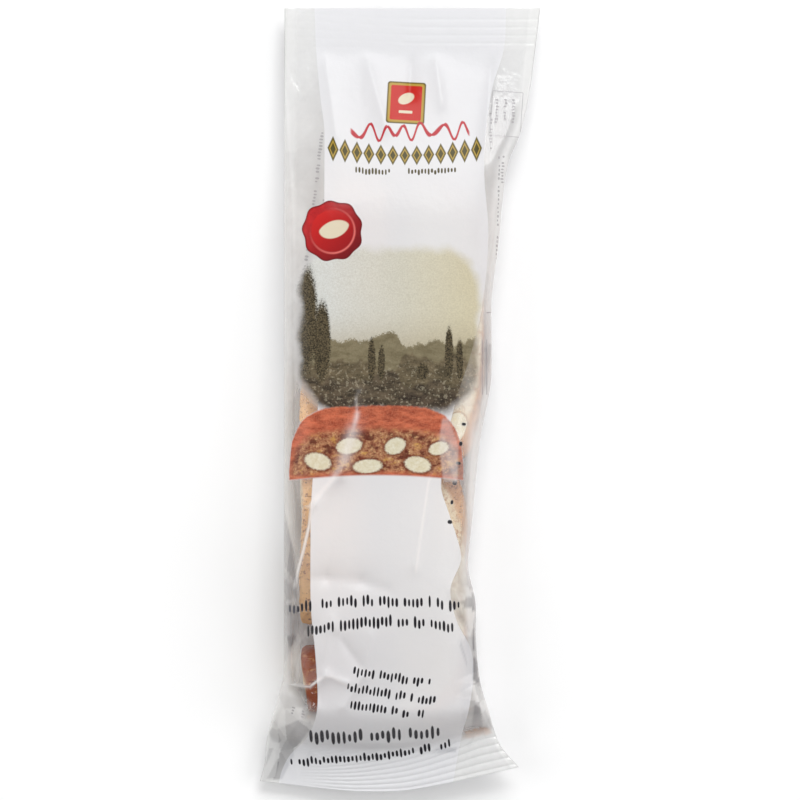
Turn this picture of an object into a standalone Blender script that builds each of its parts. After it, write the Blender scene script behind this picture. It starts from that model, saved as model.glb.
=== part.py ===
"""Flow-wrapped film packet of almond rusks, lying on its back with the front panel up.

The packet is one sealed tube of film, filled out by the rusks and closed at
each end by a flat crimped seal. Lengths are in millimetres until the mesh is
made in metres. X runs across the packet, Y along it towards the top seal, Z up.
"""

import math

import bmesh
import bpy
import numpy as np

MM = 0.001

# Length and seals
PACK_LENGTH = 196.5
SEAL_LENGTH = 10.0
CRIMP_PITCH = 2.1
CRIMP_DEPTH = 0.3
SEAL_THICKNESS = 0.6

# Side edges as seen from the front: distance along the packet, place across it
LEFT_EDGE = ((-95.5, -35.1), (-90, -33.8), (-85, -33.4), (-75, -30.7), (-67, -28.9), (98, -28.9))
RIGHT_EDGE = ((-91.8, 29.8), (-85, 25.0), (-77, 22.0), (-70, 20.0), (-60, 19.0), (-50, 18.8), (-41, 17.0),
              (-30, 18.0), (-10, 20.0), (8, 22.9), (22, 22.8), (40, 24.7), (60, 27.3), (66, 29.8),
              (75, 32.0), (86, 33.6), (98, 35.1))

# The bottom cut is bowed: it rises to the right and to the left of its lowest stretch
BOTTOM_RISE_RIGHT = 0.235
BOTTOM_RISE_RIGHT_FROM = 2.0
BOTTOM_RISE_LEFT = 0.12
BOTTOM_RISE_LEFT_FROM = -12.0
BOTTOM_RISE_SOFTNESS = 5.0
BOTTOM_RISE_FADE = (-88.0, -74.0)

# How far the rusks fill the tube, 0 at a seal and 1 where they hold it open
FILL = ((-98, 0), (-88.1, 0), (-85.5, 0.3), (-81, 0.8), (-76, 1), (44, 1), (56, 0.8), (68, 0.45), (78, 0.2),
        (88.1, 0), (98, 0))
FLAT_BACK_GAIN = 1.6

# Height of the film over the left and the right column of rusks, and of the side folds
CROWN_LEFT = ((-98, 18), (-76, 19.5), (-62, 22.5), (-40, 24.4), (-18, 22), (0, 20.6), (30, 19.2), (60, 17))
CROWN_RIGHT = ((-98, 15), (-70, 17.8), (-45, 20.5), (-20, 18.6), (0, 17.8), (30, 17), (60, 15.5))
SIDE_LEFT = ((-98, 3.6), (-88, 4.2), (-70, 8), (40, 8), (88, 6), (98, 5.6))
SIDE_RIGHT = ((-98, 7.6), (-88, 7.6), (-70, 9.5), (40, 9), (88, 6), (98, 5.6))

# Roundness of the cross-section: 2 is an ellipse, more is boxier, less comes to sharp sides
BODY_ROUNDNESS = 3.3
SEAL_ROUNDNESS = 1.5

# The film's lapped seam down the back shows as two shallow grooves
SEAM_EDGES = (-10.5, 1.5)
SEAM_GROOVE_DEPTH = 0.5
SEAM_GROOVE_HALF_WIDTH = 1.0
SEAM_SPAN = (-80.0, 62.0)

# Creases of the front: start, end, half width and height, a ridge where positive
CREASES = (
    ((-10.5, 1.0), (-14.5, -18.0), 4.0, 1.3),
    ((-14.5, -18.0), (-25.5, -48.0), 3.4, 1.4),
    ((8.0, -19.0), (3.5, -41.0), 3.0, 0.9),
    ((-27.0, -44.5), (-9.5, -45.5), 3.0, -1.4),
    ((-9.5, -45.5), (-2.0, -47.5), 3.0, -1.0),
    ((-17.0, -54.0), (-18.5, -69.0), 3.8, 1.2),
    ((-12.5, -59.0), (-7.5, -68.0), 3.6, -1.5),
    ((-7.0, -58.0), (-13.5, -76.0), 3.0, 1.3),
    ((-21.5, -69.5), (-13.0, -70.5), 2.6, 1.1),
    ((-24.0, -54.0), (-28.5, -70.0), 3.4, -1.3),
    ((-22.0, -76.0), (-29.5, -86.0), 3.0, 1.6),
    ((-31.0, -79.0), (-30.5, -87.0), 2.8, -1.4),
    ((19.5, -62.0), (21.0, -76.0), 2.6, 1.3),
    ((16.0, -74.0), (15.0, -86.0), 2.6, -1.2),
    ((-4.0, -84.5), (14.0, -84.0), 2.6, -1.1),
    ((-9.0, 88.0), (-3.0, 66.0), 3.0, 1.3),
    ((3.0, 88.0), (2.5, 74.0), 2.6, -1.0),
    ((8.5, 88.0), (11.0, 70.0), 3.0, 1.2),
    ((-19.0, 88.0), (-16.0, 64.0), 3.2, 1.2),
    ((-27.0, 88.0), (-22.5, 60.0), 2.6, -1.0),
    ((23.0, 87.0), (21.0, 62.0), 3.0, -1.4),
    ((28.5, 82.0), (24.5, 52.0), 2.4, 1.1),
)
CREASE_EDGE_CLEARANCE = 2.5

# Mesh density: rows are closest in the seals and on the steep bottom end
COLUMNS = 80
CRIMP_ROWS_PER_PITCH = 2
BOTTOM_END_TOP = -72.0
BOTTOM_END_ROWS = 9
BODY_ROWS = 45
PROFILE_STEPS = 90


def smooth_through(points, at):
    """Monotone cubic curve through (place, value) points, read at one or more places."""
    place, value = np.array(points, dtype=float).T
    gap = np.diff(place)
    slope = np.diff(value) / gap
    tangent = np.concatenate(([slope[0]], (slope[:-1] + slope[1:]) / 2, [slope[-1]]))
    turning = slope[:-1] * slope[1:] <= 0
    tangent[1:-1][turning] = 0
    at = np.clip(at, place[0], place[-1])
    k = np.clip(np.searchsorted(place, at, side="right") - 1, 0, len(gap) - 1)
    t = (at - place[k]) / gap[k]
    return (value[k] * (1 + 2 * t) * (1 - t) ** 2 + tangent[k] * gap[k] * t * (1 - t) ** 2
            + value[k + 1] * t ** 2 * (3 - 2 * t) + tangent[k + 1] * gap[k] * t ** 2 * (t - 1))


def ease(low, high, at):
    """Smooth step from 0 at low to 1 at high."""
    t = np.clip((at - low) / (high - low), 0, 1)
    return t * t * (3 - 2 * t)


def soft_ramp(distance):
    """0 before the start of a ramp and distance after it, with a rounded corner between."""
    return (distance + np.hypot(distance, BOTTOM_RISE_SOFTNESS)) / 2


def row_rise(across, along):
    """How far a mesh row lies above its station, because the bottom cut is bowed."""
    right = BOTTOM_RISE_RIGHT * soft_ramp(across - BOTTOM_RISE_RIGHT_FROM)
    left = BOTTOM_RISE_LEFT * soft_ramp(BOTTOM_RISE_LEFT_FROM - across)
    return (right + left) * (1 - ease(*BOTTOM_RISE_FADE, along))


def edge_at(edge, along):
    """Where a mesh row meets one side edge of the packet."""
    first_guess = smooth_through(edge, along)
    return smooth_through(edge, along + row_rise(first_guess, along))


def row_stations():
    """Places along the packet of the mesh rows: crimp peaks and valleys, and the body between."""
    end = PACK_LENGTH / 2
    crimps = np.arange(0, SEAL_LENGTH, CRIMP_PITCH / CRIMP_ROWS_PER_PITCH)
    bottom_end = np.linspace(-end + SEAL_LENGTH, BOTTOM_END_TOP, BOTTOM_END_ROWS)
    body = np.linspace(BOTTOM_END_TOP, end - SEAL_LENGTH, BODY_ROWS + 1)[1:]
    return np.concatenate((-end + crimps, bottom_end, body, (end - crimps)[::-1]))


def crimp_wave(along):
    """Zigzag of the heat-seal jaws: 1 on a ridge, -1 in a valley, 0 on the body."""
    from_end = PACK_LENGTH / 2 - abs(along)
    if from_end >= SEAL_LENGTH - 0.01:
        return 0.0
    phase = from_end / CRIMP_PITCH % 1.0
    return 4 * abs(phase - 0.5) - 1


def even_steps(x, z, count):
    """The same line in equal steps of film, with count points from end to end."""
    run = np.concatenate(([0], np.cumsum(np.hypot(np.diff(x), np.diff(z)))))
    steps = np.linspace(0, run[-1], count)
    return np.interp(steps, run, x), np.interp(steps, run, z)


def tube_section(along):
    """Front and back line of the film across the packet, each from the left fold to the right."""
    left = edge_at(LEFT_EDGE, along)
    right = edge_at(RIGHT_EDGE, along)
    fill = float(smooth_through(FILL, along))
    roundness = SEAL_ROUNDNESS + (BODY_ROUNDNESS - SEAL_ROUNDNESS) * ease(0, 1, fill)
    turn = np.linspace(math.pi, 0, PROFILE_STEPS)
    across = np.sign(np.cos(turn)) * np.abs(np.cos(turn)) ** (2 / roundness)
    bulge = np.sin(turn) ** (2 / roundness)
    x = (left + right) / 2 + (right - left) / 2 * across
    share = (across + 1) / 2
    side = (1 - share) * smooth_through(SIDE_LEFT, along) + share * smooth_through(SIDE_RIGHT, along)
    crown = (1 - share) * smooth_through(CROWN_LEFT, along) + share * smooth_through(CROWN_RIGHT, along)
    skin = SEAL_THICKNESS / 2 * np.minimum(1, bulge * 4)
    front = side + skin + fill * (crown - side) * bulge
    sink = min(1.0, fill * FLAT_BACK_GAIN)
    back = np.maximum(0, side - skin - sink * (side + skin) * np.minimum(1, 1.25 * bulge))
    wave = CRIMP_DEPTH * crimp_wave(along)
    return x, front + wave, back + wave


def crease_relief(x, y):
    """Height that the creases add to the front of the film at one point."""
    relief = 0.0
    for (x0, y0), (x1, y1), half_width, height in CREASES:
        run = np.array((x1 - x0, y1 - y0))
        offset = np.array((x - x0, y - y0))
        t = offset @ run / (run @ run)
        reach = np.linalg.norm(offset - np.clip(t, 0, 1) * run)
        relief += height * max(0.0, 1 - reach / half_width)
    inside_left = x - smooth_through(LEFT_EDGE, y)
    inside_right = smooth_through(RIGHT_EDGE, y) - x
    inside_end = PACK_LENGTH / 2 - SEAL_LENGTH - abs(y)
    return relief * ease(0, CREASE_EDGE_CLEARANCE, min(inside_left, inside_right, inside_end))


def seam_groove(x, y):
    """Depth of the grooves beside the lapped seam, on the flat of the back."""
    depth = sum(max(0.0, 1 - abs(x - edge) / SEAM_GROOVE_HALF_WIDTH) for edge in SEAM_EDGES)
    return SEAM_GROOVE_DEPTH * depth * (SEAM_SPAN[0] < y < SEAM_SPAN[1])


def film_ring(along):
    """Points round the packet at one row: the front from left to right, then the back again."""
    half = COLUMNS // 2
    x, front, back = tube_section(along)
    ring = []
    for px, pz in zip(*even_steps(x, front, half + 1)):
        py = along + row_rise(px, along)
        ring.append((px, py, pz + crease_relief(px, py)))
    for px, pz in list(zip(*even_steps(x, back, half + 1)))[-2:0:-1]:
        py = along + row_rise(px, along)
        ring.append((px, py, pz + seam_groove(px, py)))
    return ring


def cap_end(bm, ring):
    """Close the cut end of a seal with a strip of quads between its front and its back."""
    half = len(ring) // 2
    bm.faces.new((ring[0], ring[1], ring[-1]))
    for k in range(1, half - 1):
        bm.faces.new((ring[k], ring[k + 1], ring[-k - 1], ring[-k]))
    bm.faces.new((ring[half - 1], ring[half], ring[half + 1]))


def film_mesh():
    """The closed skin of the packet, centred on the floor below it."""
    bm = bmesh.new()
    rings = [[bm.verts.new(point) for point in film_ring(along)] for along in row_stations()]
    for lower, upper in zip(rings, rings[1:]):
        for k in range(COLUMNS):
            after = (k + 1) % COLUMNS
            bm.faces.new((lower[k], lower[after], upper[after]))
            bm.faces.new((lower[k], upper[after], upper[k]))
    cap_end(bm, rings[0])
    cap_end(bm, rings[-1])
    points = np.array([v.co for v in bm.verts])
    low, high = points.min(axis=0), points.max(axis=0)
    middle = (low + high) / 2
    for v in bm.verts:
        v.co = ((v.co.x - middle[0]) * MM, (v.co.y - middle[1]) * MM, (v.co.z - low[2]) * MM)
    bmesh.ops.triangulate(bm, faces=bm.faces)
    bmesh.ops.recalc_face_normals(bm, faces=bm.faces)
    mesh = bpy.data.meshes.new("packet")
    bm.to_mesh(mesh)
    bm.free()
    return mesh


def film_material():
    """White-printed polypropylene film, slightly glossy."""
    material = bpy.data.materials.new("printed_film")
    material.use_nodes = True
    shader = material.node_tree.nodes["Principled BSDF"]
    shader.inputs["Base Color"].default_value = (0.80, 0.79, 0.78, 1)
    shader.inputs["Roughness"].default_value = 0.3
    shader.inputs["Metallic"].default_value = 0.0
    return material


def make_packet():
    """The sealed film packet."""
    mesh = film_mesh()
    mesh.materials.append(film_material())
    mesh.shade_smooth()
    mesh.set_sharp_from_angle(angle=math.radians(30))
    packet = bpy.data.objects.new("packet", mesh)
    bpy.context.scene.collection.objects.link(packet)


for old in list(bpy.data.objects):
    bpy.data.objects.remove(old, do_unlink=True)
make_packet()
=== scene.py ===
import math
import random

import bmesh
import bpy
import numpy as np
from mathutils import Matrix, Vector, geometry, noise
from mathutils.bvhtree import BVHTree


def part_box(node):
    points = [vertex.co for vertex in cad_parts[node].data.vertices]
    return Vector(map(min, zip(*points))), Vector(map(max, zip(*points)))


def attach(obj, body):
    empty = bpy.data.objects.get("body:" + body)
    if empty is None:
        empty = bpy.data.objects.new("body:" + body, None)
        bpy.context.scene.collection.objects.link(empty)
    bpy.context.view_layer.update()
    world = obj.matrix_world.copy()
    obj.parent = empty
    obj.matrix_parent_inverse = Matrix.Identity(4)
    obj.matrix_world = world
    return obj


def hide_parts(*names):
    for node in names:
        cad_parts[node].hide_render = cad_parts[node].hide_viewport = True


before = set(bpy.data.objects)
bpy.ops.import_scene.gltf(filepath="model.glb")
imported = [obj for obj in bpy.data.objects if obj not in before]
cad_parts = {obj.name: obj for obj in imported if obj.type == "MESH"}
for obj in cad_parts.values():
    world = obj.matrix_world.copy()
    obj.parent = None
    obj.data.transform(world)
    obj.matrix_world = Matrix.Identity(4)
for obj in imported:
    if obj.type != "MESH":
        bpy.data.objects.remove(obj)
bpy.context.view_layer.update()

# The film packet.
# A tube of thin polypropylene film printed white on its front and back and left clear along
# both sides of the front. It is filled with rusks, and each end is pressed into a ribbed seal.
MM = 0.001
PACK_LENGTH = 196.5
SEAL_LENGTH = 10.0
SEAL_THICKNESS = 0.24
CRIMP_PITCH = 2.0
CRIMP_DEPTH = 0.30
CRIMP_GROOVE = 0.34

# Ribs of the top seal lean and fade to the left; those of the bottom seal crowd towards the cut
RIB_LEAN = 0.055
RIB_LEAN_FROM = -29.0
RIB_LEAN_LONGEST = 33.0
RIB_CROWDING = 0.023
RIB_CROWDING_FROM = 20.0
RIB_CROWDING_GAIN = 0.0009
RIB_CROWDING_GAIN_FROM = 5.0
TOP_RIB_PRESS = (0.06, 0.18)
TOP_RIB_FADE = (-8.0, 8.0)
BOTTOM_RIB_FADE = (-28.0, -12.0)

# Side edges seen from the front, then the bowed bottom cut, as distance along to place across
LEFT_EDGE = ((-95.5, -35.1), (-90, -33.8), (-85, -33.4), (-75, -30.7), (-67, -28.9), (98, -28.9))
RIGHT_EDGE = ((-91.8, 29.8), (-85, 25.0), (-77, 22.0), (-70, 20.0), (-60, 19.0), (-50, 18.8), (-41, 17.0),
              (-30, 18.0), (-10, 20.0), (8, 22.9), (22, 22.8), (40, 24.7), (60, 27.3), (66, 29.8),
              (75, 32.0), (86, 33.6), (98, 35.1))
BOTTOM_RISE_RIGHT = 0.235
BOTTOM_RISE_RIGHT_FROM = 2.0
BOTTOM_RISE_LEFT = 0.12
BOTTOM_RISE_LEFT_FROM = -12.0
BOTTOM_RISE_SOFTNESS = 5.0
BOTTOM_RISE_FADE = (-88.0, -74.0)

# How far the tube is filled, and how high its crown and its side folds lie
FILL = ((-98, 0), (-88.1, 0), (-85.5, 0.3), (-81, 0.8), (-76, 1), (44, 1), (56, 0.8), (68, 0.45), (78, 0.2),
        (88.1, 0), (98, 0))
FLAT_BACK_GAIN = 1.6
CROWN_LEFT = ((-98, 18), (-76, 19.5), (-62, 22.5), (-40, 24.4), (-18, 22), (0, 20.6), (30, 19.2), (60, 17))
CROWN_RIGHT = ((-98, 15), (-70, 17.8), (-45, 20.5), (-20, 18.6), (0, 17.8), (30, 17), (60, 15.5))
SIDE_LEFT = ((-98, 3.6), (-88, 4.2), (-70, 8), (40, 8), (88, 6), (98, 5.6))
SIDE_RIGHT = ((-98, 7.6), (-88, 7.6), (-70, 9.5), (40, 9), (88, 6), (98, 5.6))
BODY_ROUNDNESS = 3.3
SEAL_ROUNDNESS = 1.5
SKIN_TAPER = 8.0
BACK_SPREAD = 1.25

# Edges of the white print: distance along, place across
PANEL_LEFT = ((-96.3, -30.5), (-92.5, -29.5), (-88.8, -27.5), (-85, -23.8), (-80, -21.3), (-74, -20.4),
              (-62.5, -21), (-52, -22), (-32, -22.1), (0, -20.3), (40, -18.8), (66, -18.8), (76, -19.9),
              (88, -21), (98, -21.4))
PANEL_RIGHT = ((-96, 13.2), (-83.5, 15.5), (-76.5, 17.2), (-66.8, 18.3), (-61.5, 17.5), (-55, 14.2),
               (-47, 12.5), (-39, 15.2), (-33.5, 14), (-27.5, 12), (-21, 10.2), (-12, 11.2), (0.2, 14),
               (12, 17.8), (22, 20.2), (42, 22), (57, 21), (68, 21.5), (79, 23.3), (88, 26), (98, 26.6))
BACK_PANEL_LEFT = ((-98, -29), (-84, -26), (-64, -24.6), (-50, -25.5), (-36, -28), (-20, -34), (98, -40))
BACK_PANEL_RIGHT = 40.0
BACK_EDGE_SHARPNESS = 0.06

# Creases of the front: start, end, half width and height, a ridge where positive
CREASES = (
    ((-10.5, 1.0), (-10.8, -5.0), 2.0, 0.9),
    ((-10.8, -5.0), (-14.8, -18.5), 3.0, 1.5),
    ((-14.8, -18.5), (-21.2, -25.5), 2.2, 1.2),
    ((-21.2, -25.5), (-25.5, -48.0), 2.2, 1.5),
    ((8.0, -19.0), (3.5, -41.0), 1.6, 0.7),
    ((-27.0, -44.5), (-18.0, -44.0), 3.0, -0.9),
    ((-18.0, -44.0), (-9.5, -44.8), 3.2, -1.0),
    ((-9.5, -44.8), (-3.0, -47.0), 2.6, -0.8),
    ((-17.0, -54.0), (-15.0, -58.5), 2.4, 0.9),
    ((-15.0, -58.5), (-9.0, -67.0), 2.6, -1.2),
    ((-17.5, -56.0), (-19.0, -69.0), 3.2, 0.9),
    ((-7.0, -58.0), (-9.0, -68.0), 2.6, 0.9),
    ((-9.0, -68.0), (-14.0, -76.0), 2.4, 1.1),
    ((-21.0, -70.5), (-18.2, -68.0), 1.2, 0.9),
    ((-18.2, -68.0), (-13.0, -70.0), 1.2, 0.9),
    ((-28.7, -70.5), (-21.0, -70.5), 1.0, 0.6),
    ((-23.5, -56.5), (-28.7, -67.3), 2.2, -1.0),
    ((-21.8, -76.2), (-29.5, -86.0), 1.7, 1.5),
    ((-31.0, -79.0), (-29.0, -86.5), 2.4, -1.1),
    ((-30.5, -87.0), (-33.0, -95.0), 2.0, -0.9),
    ((19.5, -62.0), (21.0, -76.0), 1.6, 0.9),
    ((20.5, -66.0), (18.0, -72.0), 1.4, 0.8),
    ((16.0, -74.0), (15.0, -86.0), 2.2, -0.7),
    ((-4.0, -84.5), (14.0, -84.0), 2.0, -0.9),
    ((13.5, -47.0), (15.5, -53.0), 1.4, 0.7),
    ((13.0, -50.0), (17.5, -62.0), 1.8, -0.8),
    ((-9.0, 88.0), (-3.5, 68.0), 2.4, 0.9),
    ((3.0, 88.0), (2.5, 76.0), 2.0, -0.7),
    ((8.5, 88.0), (10.5, 74.0), 2.2, 0.8),
    ((-19.0, 88.0), (-16.0, 66.0), 2.4, 0.8),
    ((-27.4, 82.0), (-24.6, 78.0), 1.2, -0.25),
    ((-28.2, 89.5), (-26.4, 88.5), 0.8, 0.4),
    ((23.0, 85.0), (21.0, 62.0), 2.2, -0.6),
)
CREASE_CREST = 0.25
CREASE_FALL = 1.3
CREASE_EDGE_CLEARANCE = 2.0
CREASE_SEAL_CLEARANCE = 6.0

# Where the film is crumpled into small facets or streaked by long ones: centre, reach and height
CRUMPLED = (
    ((-27.5, -73.0), (7.0, 13.0), 0.75),
    ((-29.0, -87.0), (7.0, 7.0), 0.6),
    ((20.0, -67.0), (4.5, 13.0), 1.2),
    ((18.5, -51.0), (4.0, 8.0), 0.9),
)
STREAKED = (
    ((24.0, 68.0), (6.0, 16.0), 0.16),
    ((-25.0, 72.0), (6.0, 18.0), 0.14),
    ((-27.0, 0.0), (3.0, 60.0), 0.14),
    ((21.0, 20.0), (3.0, 34.0), 0.16),
)
SMALL_FACETS = (4.5, 7.5)
LONG_FACETS = (2.6, 28.0)
BROAD_FACETS = (13.0, 24.0)
BROAD_FACET_HEIGHT = 0.22
FACET_JITTER = 0.42
FACET_FIELD = (40.0, PACK_LENGTH / 2 + 10)
WRINKLE_HEIGHT = 0.08
WRINKLE_SIZE = (9.0, 30.0)
WRINKLE_LAYER = 3.7
FINE_WRINKLE_SHARE = 0.5
FINE_WRINKLE_SIZE = (3.1, 11.0)
FINE_WRINKLE_LAYER = 9.1

# The back seam: one edge of the tube lapped over the other, ribbed where it is welded
SEAM = (-10.5, 1.5)
SEAM_LAP = 0.16
SEAM_MIDDLE = -8.0
SEAM_REACH = 71.0
SEAM_FADE = 6.0
SEAM_RIB_PITCH = 1.5
SEAM_RIB_DEPTH = 0.07
SEAM_COLUMN_SHARE = 0.5

# How milky the clear film is down each side, beside its folded edges and at the seals
HAZE_LEFT = ((-98, 0.6), (-84, 0.8), (-80, 0.75), (-76, 0.08), (-56, 0.04), (-44, 0.18), (2, 0.2), (12, 0.5),
             (30, 0.62), (60, 0.78), (98, 0.85))
HAZE_RIGHT = ((-98, 0.7), (-76, 0.6), (-50, 0.6), (-42, 0.35), (-34, 0.14), (8, 0.14), (20, 0.3), (32, 0.6),
              (60, 0.68), (98, 0.8))
EDGE_HAZE = 0.5
EDGE_HAZE_REACH = (0.5, 3.6)
SEAL_HAZE = 0.85
SEAL_HAZE_REACH = 4.0

# Spots that are milkier or clearer than the film around them: centre, reach and amount
HAZED = (
    ((-28.6, -76.0), (2.4, 7.5), 0.95),
    ((-26.2, -76.6), (2.6, 5.0), 0.75),
    ((21.2, -5.0), (1.3, 9.0), 0.6),
    ((18.4, -22.0), (1.4, 10.0), 0.45),
    ((16.6, 4.0), (2.0, 9.0), 0.25),
    ((-20.4, 49.0), (2.6, 17.0), -0.15),
    ((27.0, 70.5), (4.6, 6.5), -0.25),
    ((24.6, 45.0), (2.6, 18.0), -0.15),
    ((18.2, -9.0), (2.4, 10.0), 0.35),
    ((19.5, -52.0), (2.5, 6.0), 0.3),
    ((20.0, -83.4), (5.5, 1.6), -1.1),
)

# Folds of the film that lie in shade: corners, anticlockwise, and strength
SHADED = (
    (((-29.2, -66.8), (-24.6, -56.5), (-26.0, -38.0), (-29.2, -24.0)), 0.62),
    (((-33.0, -83.0), (-32.4, -85.5), (-30.6, -86.2), (-29.3, -85.5), (-30.6, -82.3), (-32.0, -81.6)), 0.62),
    (((-22.2, -79.3), (-25.9, -82.5), (-29.2, -86.7), (-32.4, -94.5), (-31.0, -94.5), (-21.5, -81.1)), 0.36),
    (((-33.1, -86.9), (-34.9, -95.6), (-31.2, -86.7)), 0.66),
    (((-30.6, -89.0), (-34.0, -95.2), (-31.0, -94.8), (-30.1, -90.8)), 0.66),
    (((17.8, -69.6), (19.7, -70.4), (19.8, -64.6), (18.2, -64.0)), 0.90),
    (((17.6, -81.8), (22.6, -81.8), (20.2, -76.4), (18.4, -75.0)), 0.30),
    (((20.4, -77.6), (22.4, -81.8), (23.8, -82.6), (21.4, -76.6)), 0.42),
    (((18.0, -62.0), (18.7, -62.0), (18.6, -57.0), (18.0, -57.0)), 0.70),
    (((14.6, -60.6), (16.6, -66.4), (16.9, -65.0), (15.2, -59.4)), 0.45),
    (((13.8, -53.2), (16.8, -56.4), (16.0, -50.4)), 0.35),
    (((7.2, -88.6), (14.2, -88.2), (14.4, -86.4), (9.0, -87.0)), 0.50),
    (((20.6, 3.0), (22.0, 3.0), (23.2, 15.0), (20.6, 13.0)), 0.30),
    (((-34.9, -95.8), (-29.4, -95.0), (-22.0, -80.2), (-25.0, -79.0), (-32.6, -83.0)), 0.34),
    (((25.0, 46.0), (26.4, 45.0), (30.0, 66.0), (27.6, 66.0)), 0.22),
)
SHADE_EDGE = (-0.1, 0.5)
FOLD_TONE = (0.45, 0.9)
CRUMPLED_SHADE = (0.3, 0.7)
CRUMPLED_SHADE_POWER = 1.5
STREAKED_SHADE = 0.9

# Painted sheen of a fold of the film that lies over the right of the pictured slice like a veil
PAINTED_FOLD_SHEEN = (
    (((9.4, -10.2), (10.6, -20.6), (14.6, -20.6), (14.8, -11.2), (12.2, -4.0), (10.4, -4.0)), 0.34),
    (((10.8, -13.0), (13.2, -20.4), (14.4, -20.4), (14.6, -13.4), (12.6, -9.0)), 0.46),
)

# Painted highlights along sharp folds, which whiten the film: start, end, half width and strength
PAINTED_FOLD_HIGHLIGHTS = (
    ((-10.9, 1.0), (-10.6, -3.4), 0.30, 0.35),
    ((-10.6, -3.4), (-11.6, -7.5), 0.70, 0.60),
    ((-11.6, -7.5), (-13.9, -15.0), 1.50, 0.55),
    ((-13.9, -15.0), (-16.3, -19.0), 0.90, 0.45),
    ((-21.9, -25.2), (-22.5, -31.0), 0.36, 0.95),
    ((-22.5, -31.0), (-23.8, -36.6), 0.42, 1.00),
    ((-23.8, -36.6), (-25.4, -42.6), 0.46, 0.95),
    ((-25.4, -42.6), (-26.3, -46.6), 0.50, 0.80),
    ((-16.3, -19.0), (-21.4, -24.8), 0.50, 0.70),
    ((-24.2, -25.8), (-21.4, -26.2), 0.34, 0.70),
    ((10.6, -9.0), (13.4, -18.6), 0.90, 0.50),
    ((7.2, -19.4), (5.8, -29.0), 0.26, 0.85),
    ((5.8, -29.0), (4.0, -42.0), 0.34, 0.70),
    ((-28.7, -70.4), (-22.2, -71.0), 0.34, 0.90),
    ((-22.4, -71.0), (-19.6, -68.7), 0.34, 0.90),
    ((-19.6, -68.7), (-17.0, -68.2), 0.34, 0.80),
    ((-17.0, -68.2), (-13.2, -70.6), 0.40, 0.50),
    ((-24.4, -78.8), (-29.2, -85.5), 0.42, 0.75),
    ((20.4, -62.4), (20.9, -68.5), 0.45, 0.80),
    ((19.2, -70.2), (20.6, -73.8), 0.90, 0.85),
)

# Steps of the skin around the tube and along it
FRONT_COLUMNS = 196
BACK_COLUMNS = 98
SEAL_ROWS = 47
BOTTOM_END_TOP = -67.0
BOTTOM_END_ROWS = 50
BODY_ROWS = 176
PROFILE_STEPS = 240


def smooth_through(points, at):
    """Smooth curve through points, level wherever it would turn back."""
    place, value = np.array(points, dtype=float).T
    gap = np.diff(place)
    slope = np.diff(value) / gap
    tangent = np.concatenate(([slope[0]], (slope[:-1] + slope[1:]) / 2, [slope[-1]]))
    turning = slope[:-1] * slope[1:] <= 0
    tangent[1:-1][turning] = 0
    at = np.clip(at, place[0], place[-1])
    k = np.clip(np.searchsorted(place, at, side="right") - 1, 0, len(gap) - 1)
    t = (at - place[k]) / gap[k]
    return (value[k] * (1 + 2 * t) * (1 - t) ** 2 + tangent[k] * gap[k] * t * (1 - t) ** 2
            + value[k + 1] * t ** 2 * (3 - 2 * t) + tangent[k + 1] * gap[k] * t ** 2 * (t - 1))


def ease(low, high, at):
    t = np.clip((at - low) / (high - low), 0, 1)
    return t * t * (3 - 2 * t)


def row_rise(across, along):
    """How far a row of the skin bends upwards at the sides, so that the bottom cut is bowed."""
    def soft_ramp(distance):
        return (distance + np.hypot(distance, BOTTOM_RISE_SOFTNESS)) / 2
    right = BOTTOM_RISE_RIGHT * soft_ramp(across - BOTTOM_RISE_RIGHT_FROM)
    left = BOTTOM_RISE_LEFT * soft_ramp(BOTTOM_RISE_LEFT_FROM - across)
    return (right + left) * (1 - ease(*BOTTOM_RISE_FADE, along))


def edge_at(edge, along):
    """Place across of a side edge on a row that is bent by row_rise."""
    first_guess = smooth_through(edge, along)
    return smooth_through(edge, along + row_rise(first_guess, along))


def tube_section(along):
    """Front and back of the filled tube across one row, flat at a seal and full in the body."""
    left = edge_at(LEFT_EDGE, along)
    right = edge_at(RIGHT_EDGE, along)
    fill = float(smooth_through(FILL, along))
    roundness = SEAL_ROUNDNESS + (BODY_ROUNDNESS - SEAL_ROUNDNESS) * ease(0, 1, fill)
    turn = np.linspace(math.pi, 0, PROFILE_STEPS)
    across = np.sign(np.cos(turn)) * np.abs(np.cos(turn)) ** (2 / roundness)
    bulge = np.sin(turn) ** (2 / roundness)
    x = (left + right) / 2 + (right - left) / 2 * across
    share = (across + 1) / 2
    side = (1 - share) * smooth_through(SIDE_LEFT, along) + share * smooth_through(SIDE_RIGHT, along)
    crown = (1 - share) * smooth_through(CROWN_LEFT, along) + share * smooth_through(CROWN_RIGHT, along)
    skin = SEAL_THICKNESS / 2 * np.minimum(1, bulge * SKIN_TAPER)
    front = side + skin + fill * (crown - side) * bulge
    sink = min(1.0, fill * FLAT_BACK_GAIN)
    back = np.maximum(0, side - skin - sink * (side + skin) * np.minimum(1, BACK_SPREAD * bulge))
    return x, front, back


def steps_along(x, z, shares):
    """Points at given shares of the length of a profile."""
    run = np.concatenate(([0], np.cumsum(np.hypot(np.diff(x), np.diff(z)))))
    return np.interp(shares * run[-1], run, x), np.interp(shares * run[-1], run, z)


def back_shares(left, right):
    """Steps across the back, closer together where the seam is."""
    low, high = (SEAM[0] - 1 - left) / (right - left), (SEAM[1] + 1 - left) / (right - left)
    outside = (1 - SEAM_COLUMN_SHARE) * low / (low + 1 - high)
    return np.interp(np.linspace(0, 1, BACK_COLUMNS + 1), (0, outside, outside + SEAM_COLUMN_SHARE, 1),
                     (0, low, high, 1))


def reach_from_line(x, y, start, end):
    run = np.subtract(end, start)
    t = np.clip(((x - start[0]) * run[0] + (y - start[1]) * run[1]) / (run @ run), 0, 1)
    return np.hypot(x - start[0] - t * run[0], y - start[1] - t * run[1])


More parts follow.
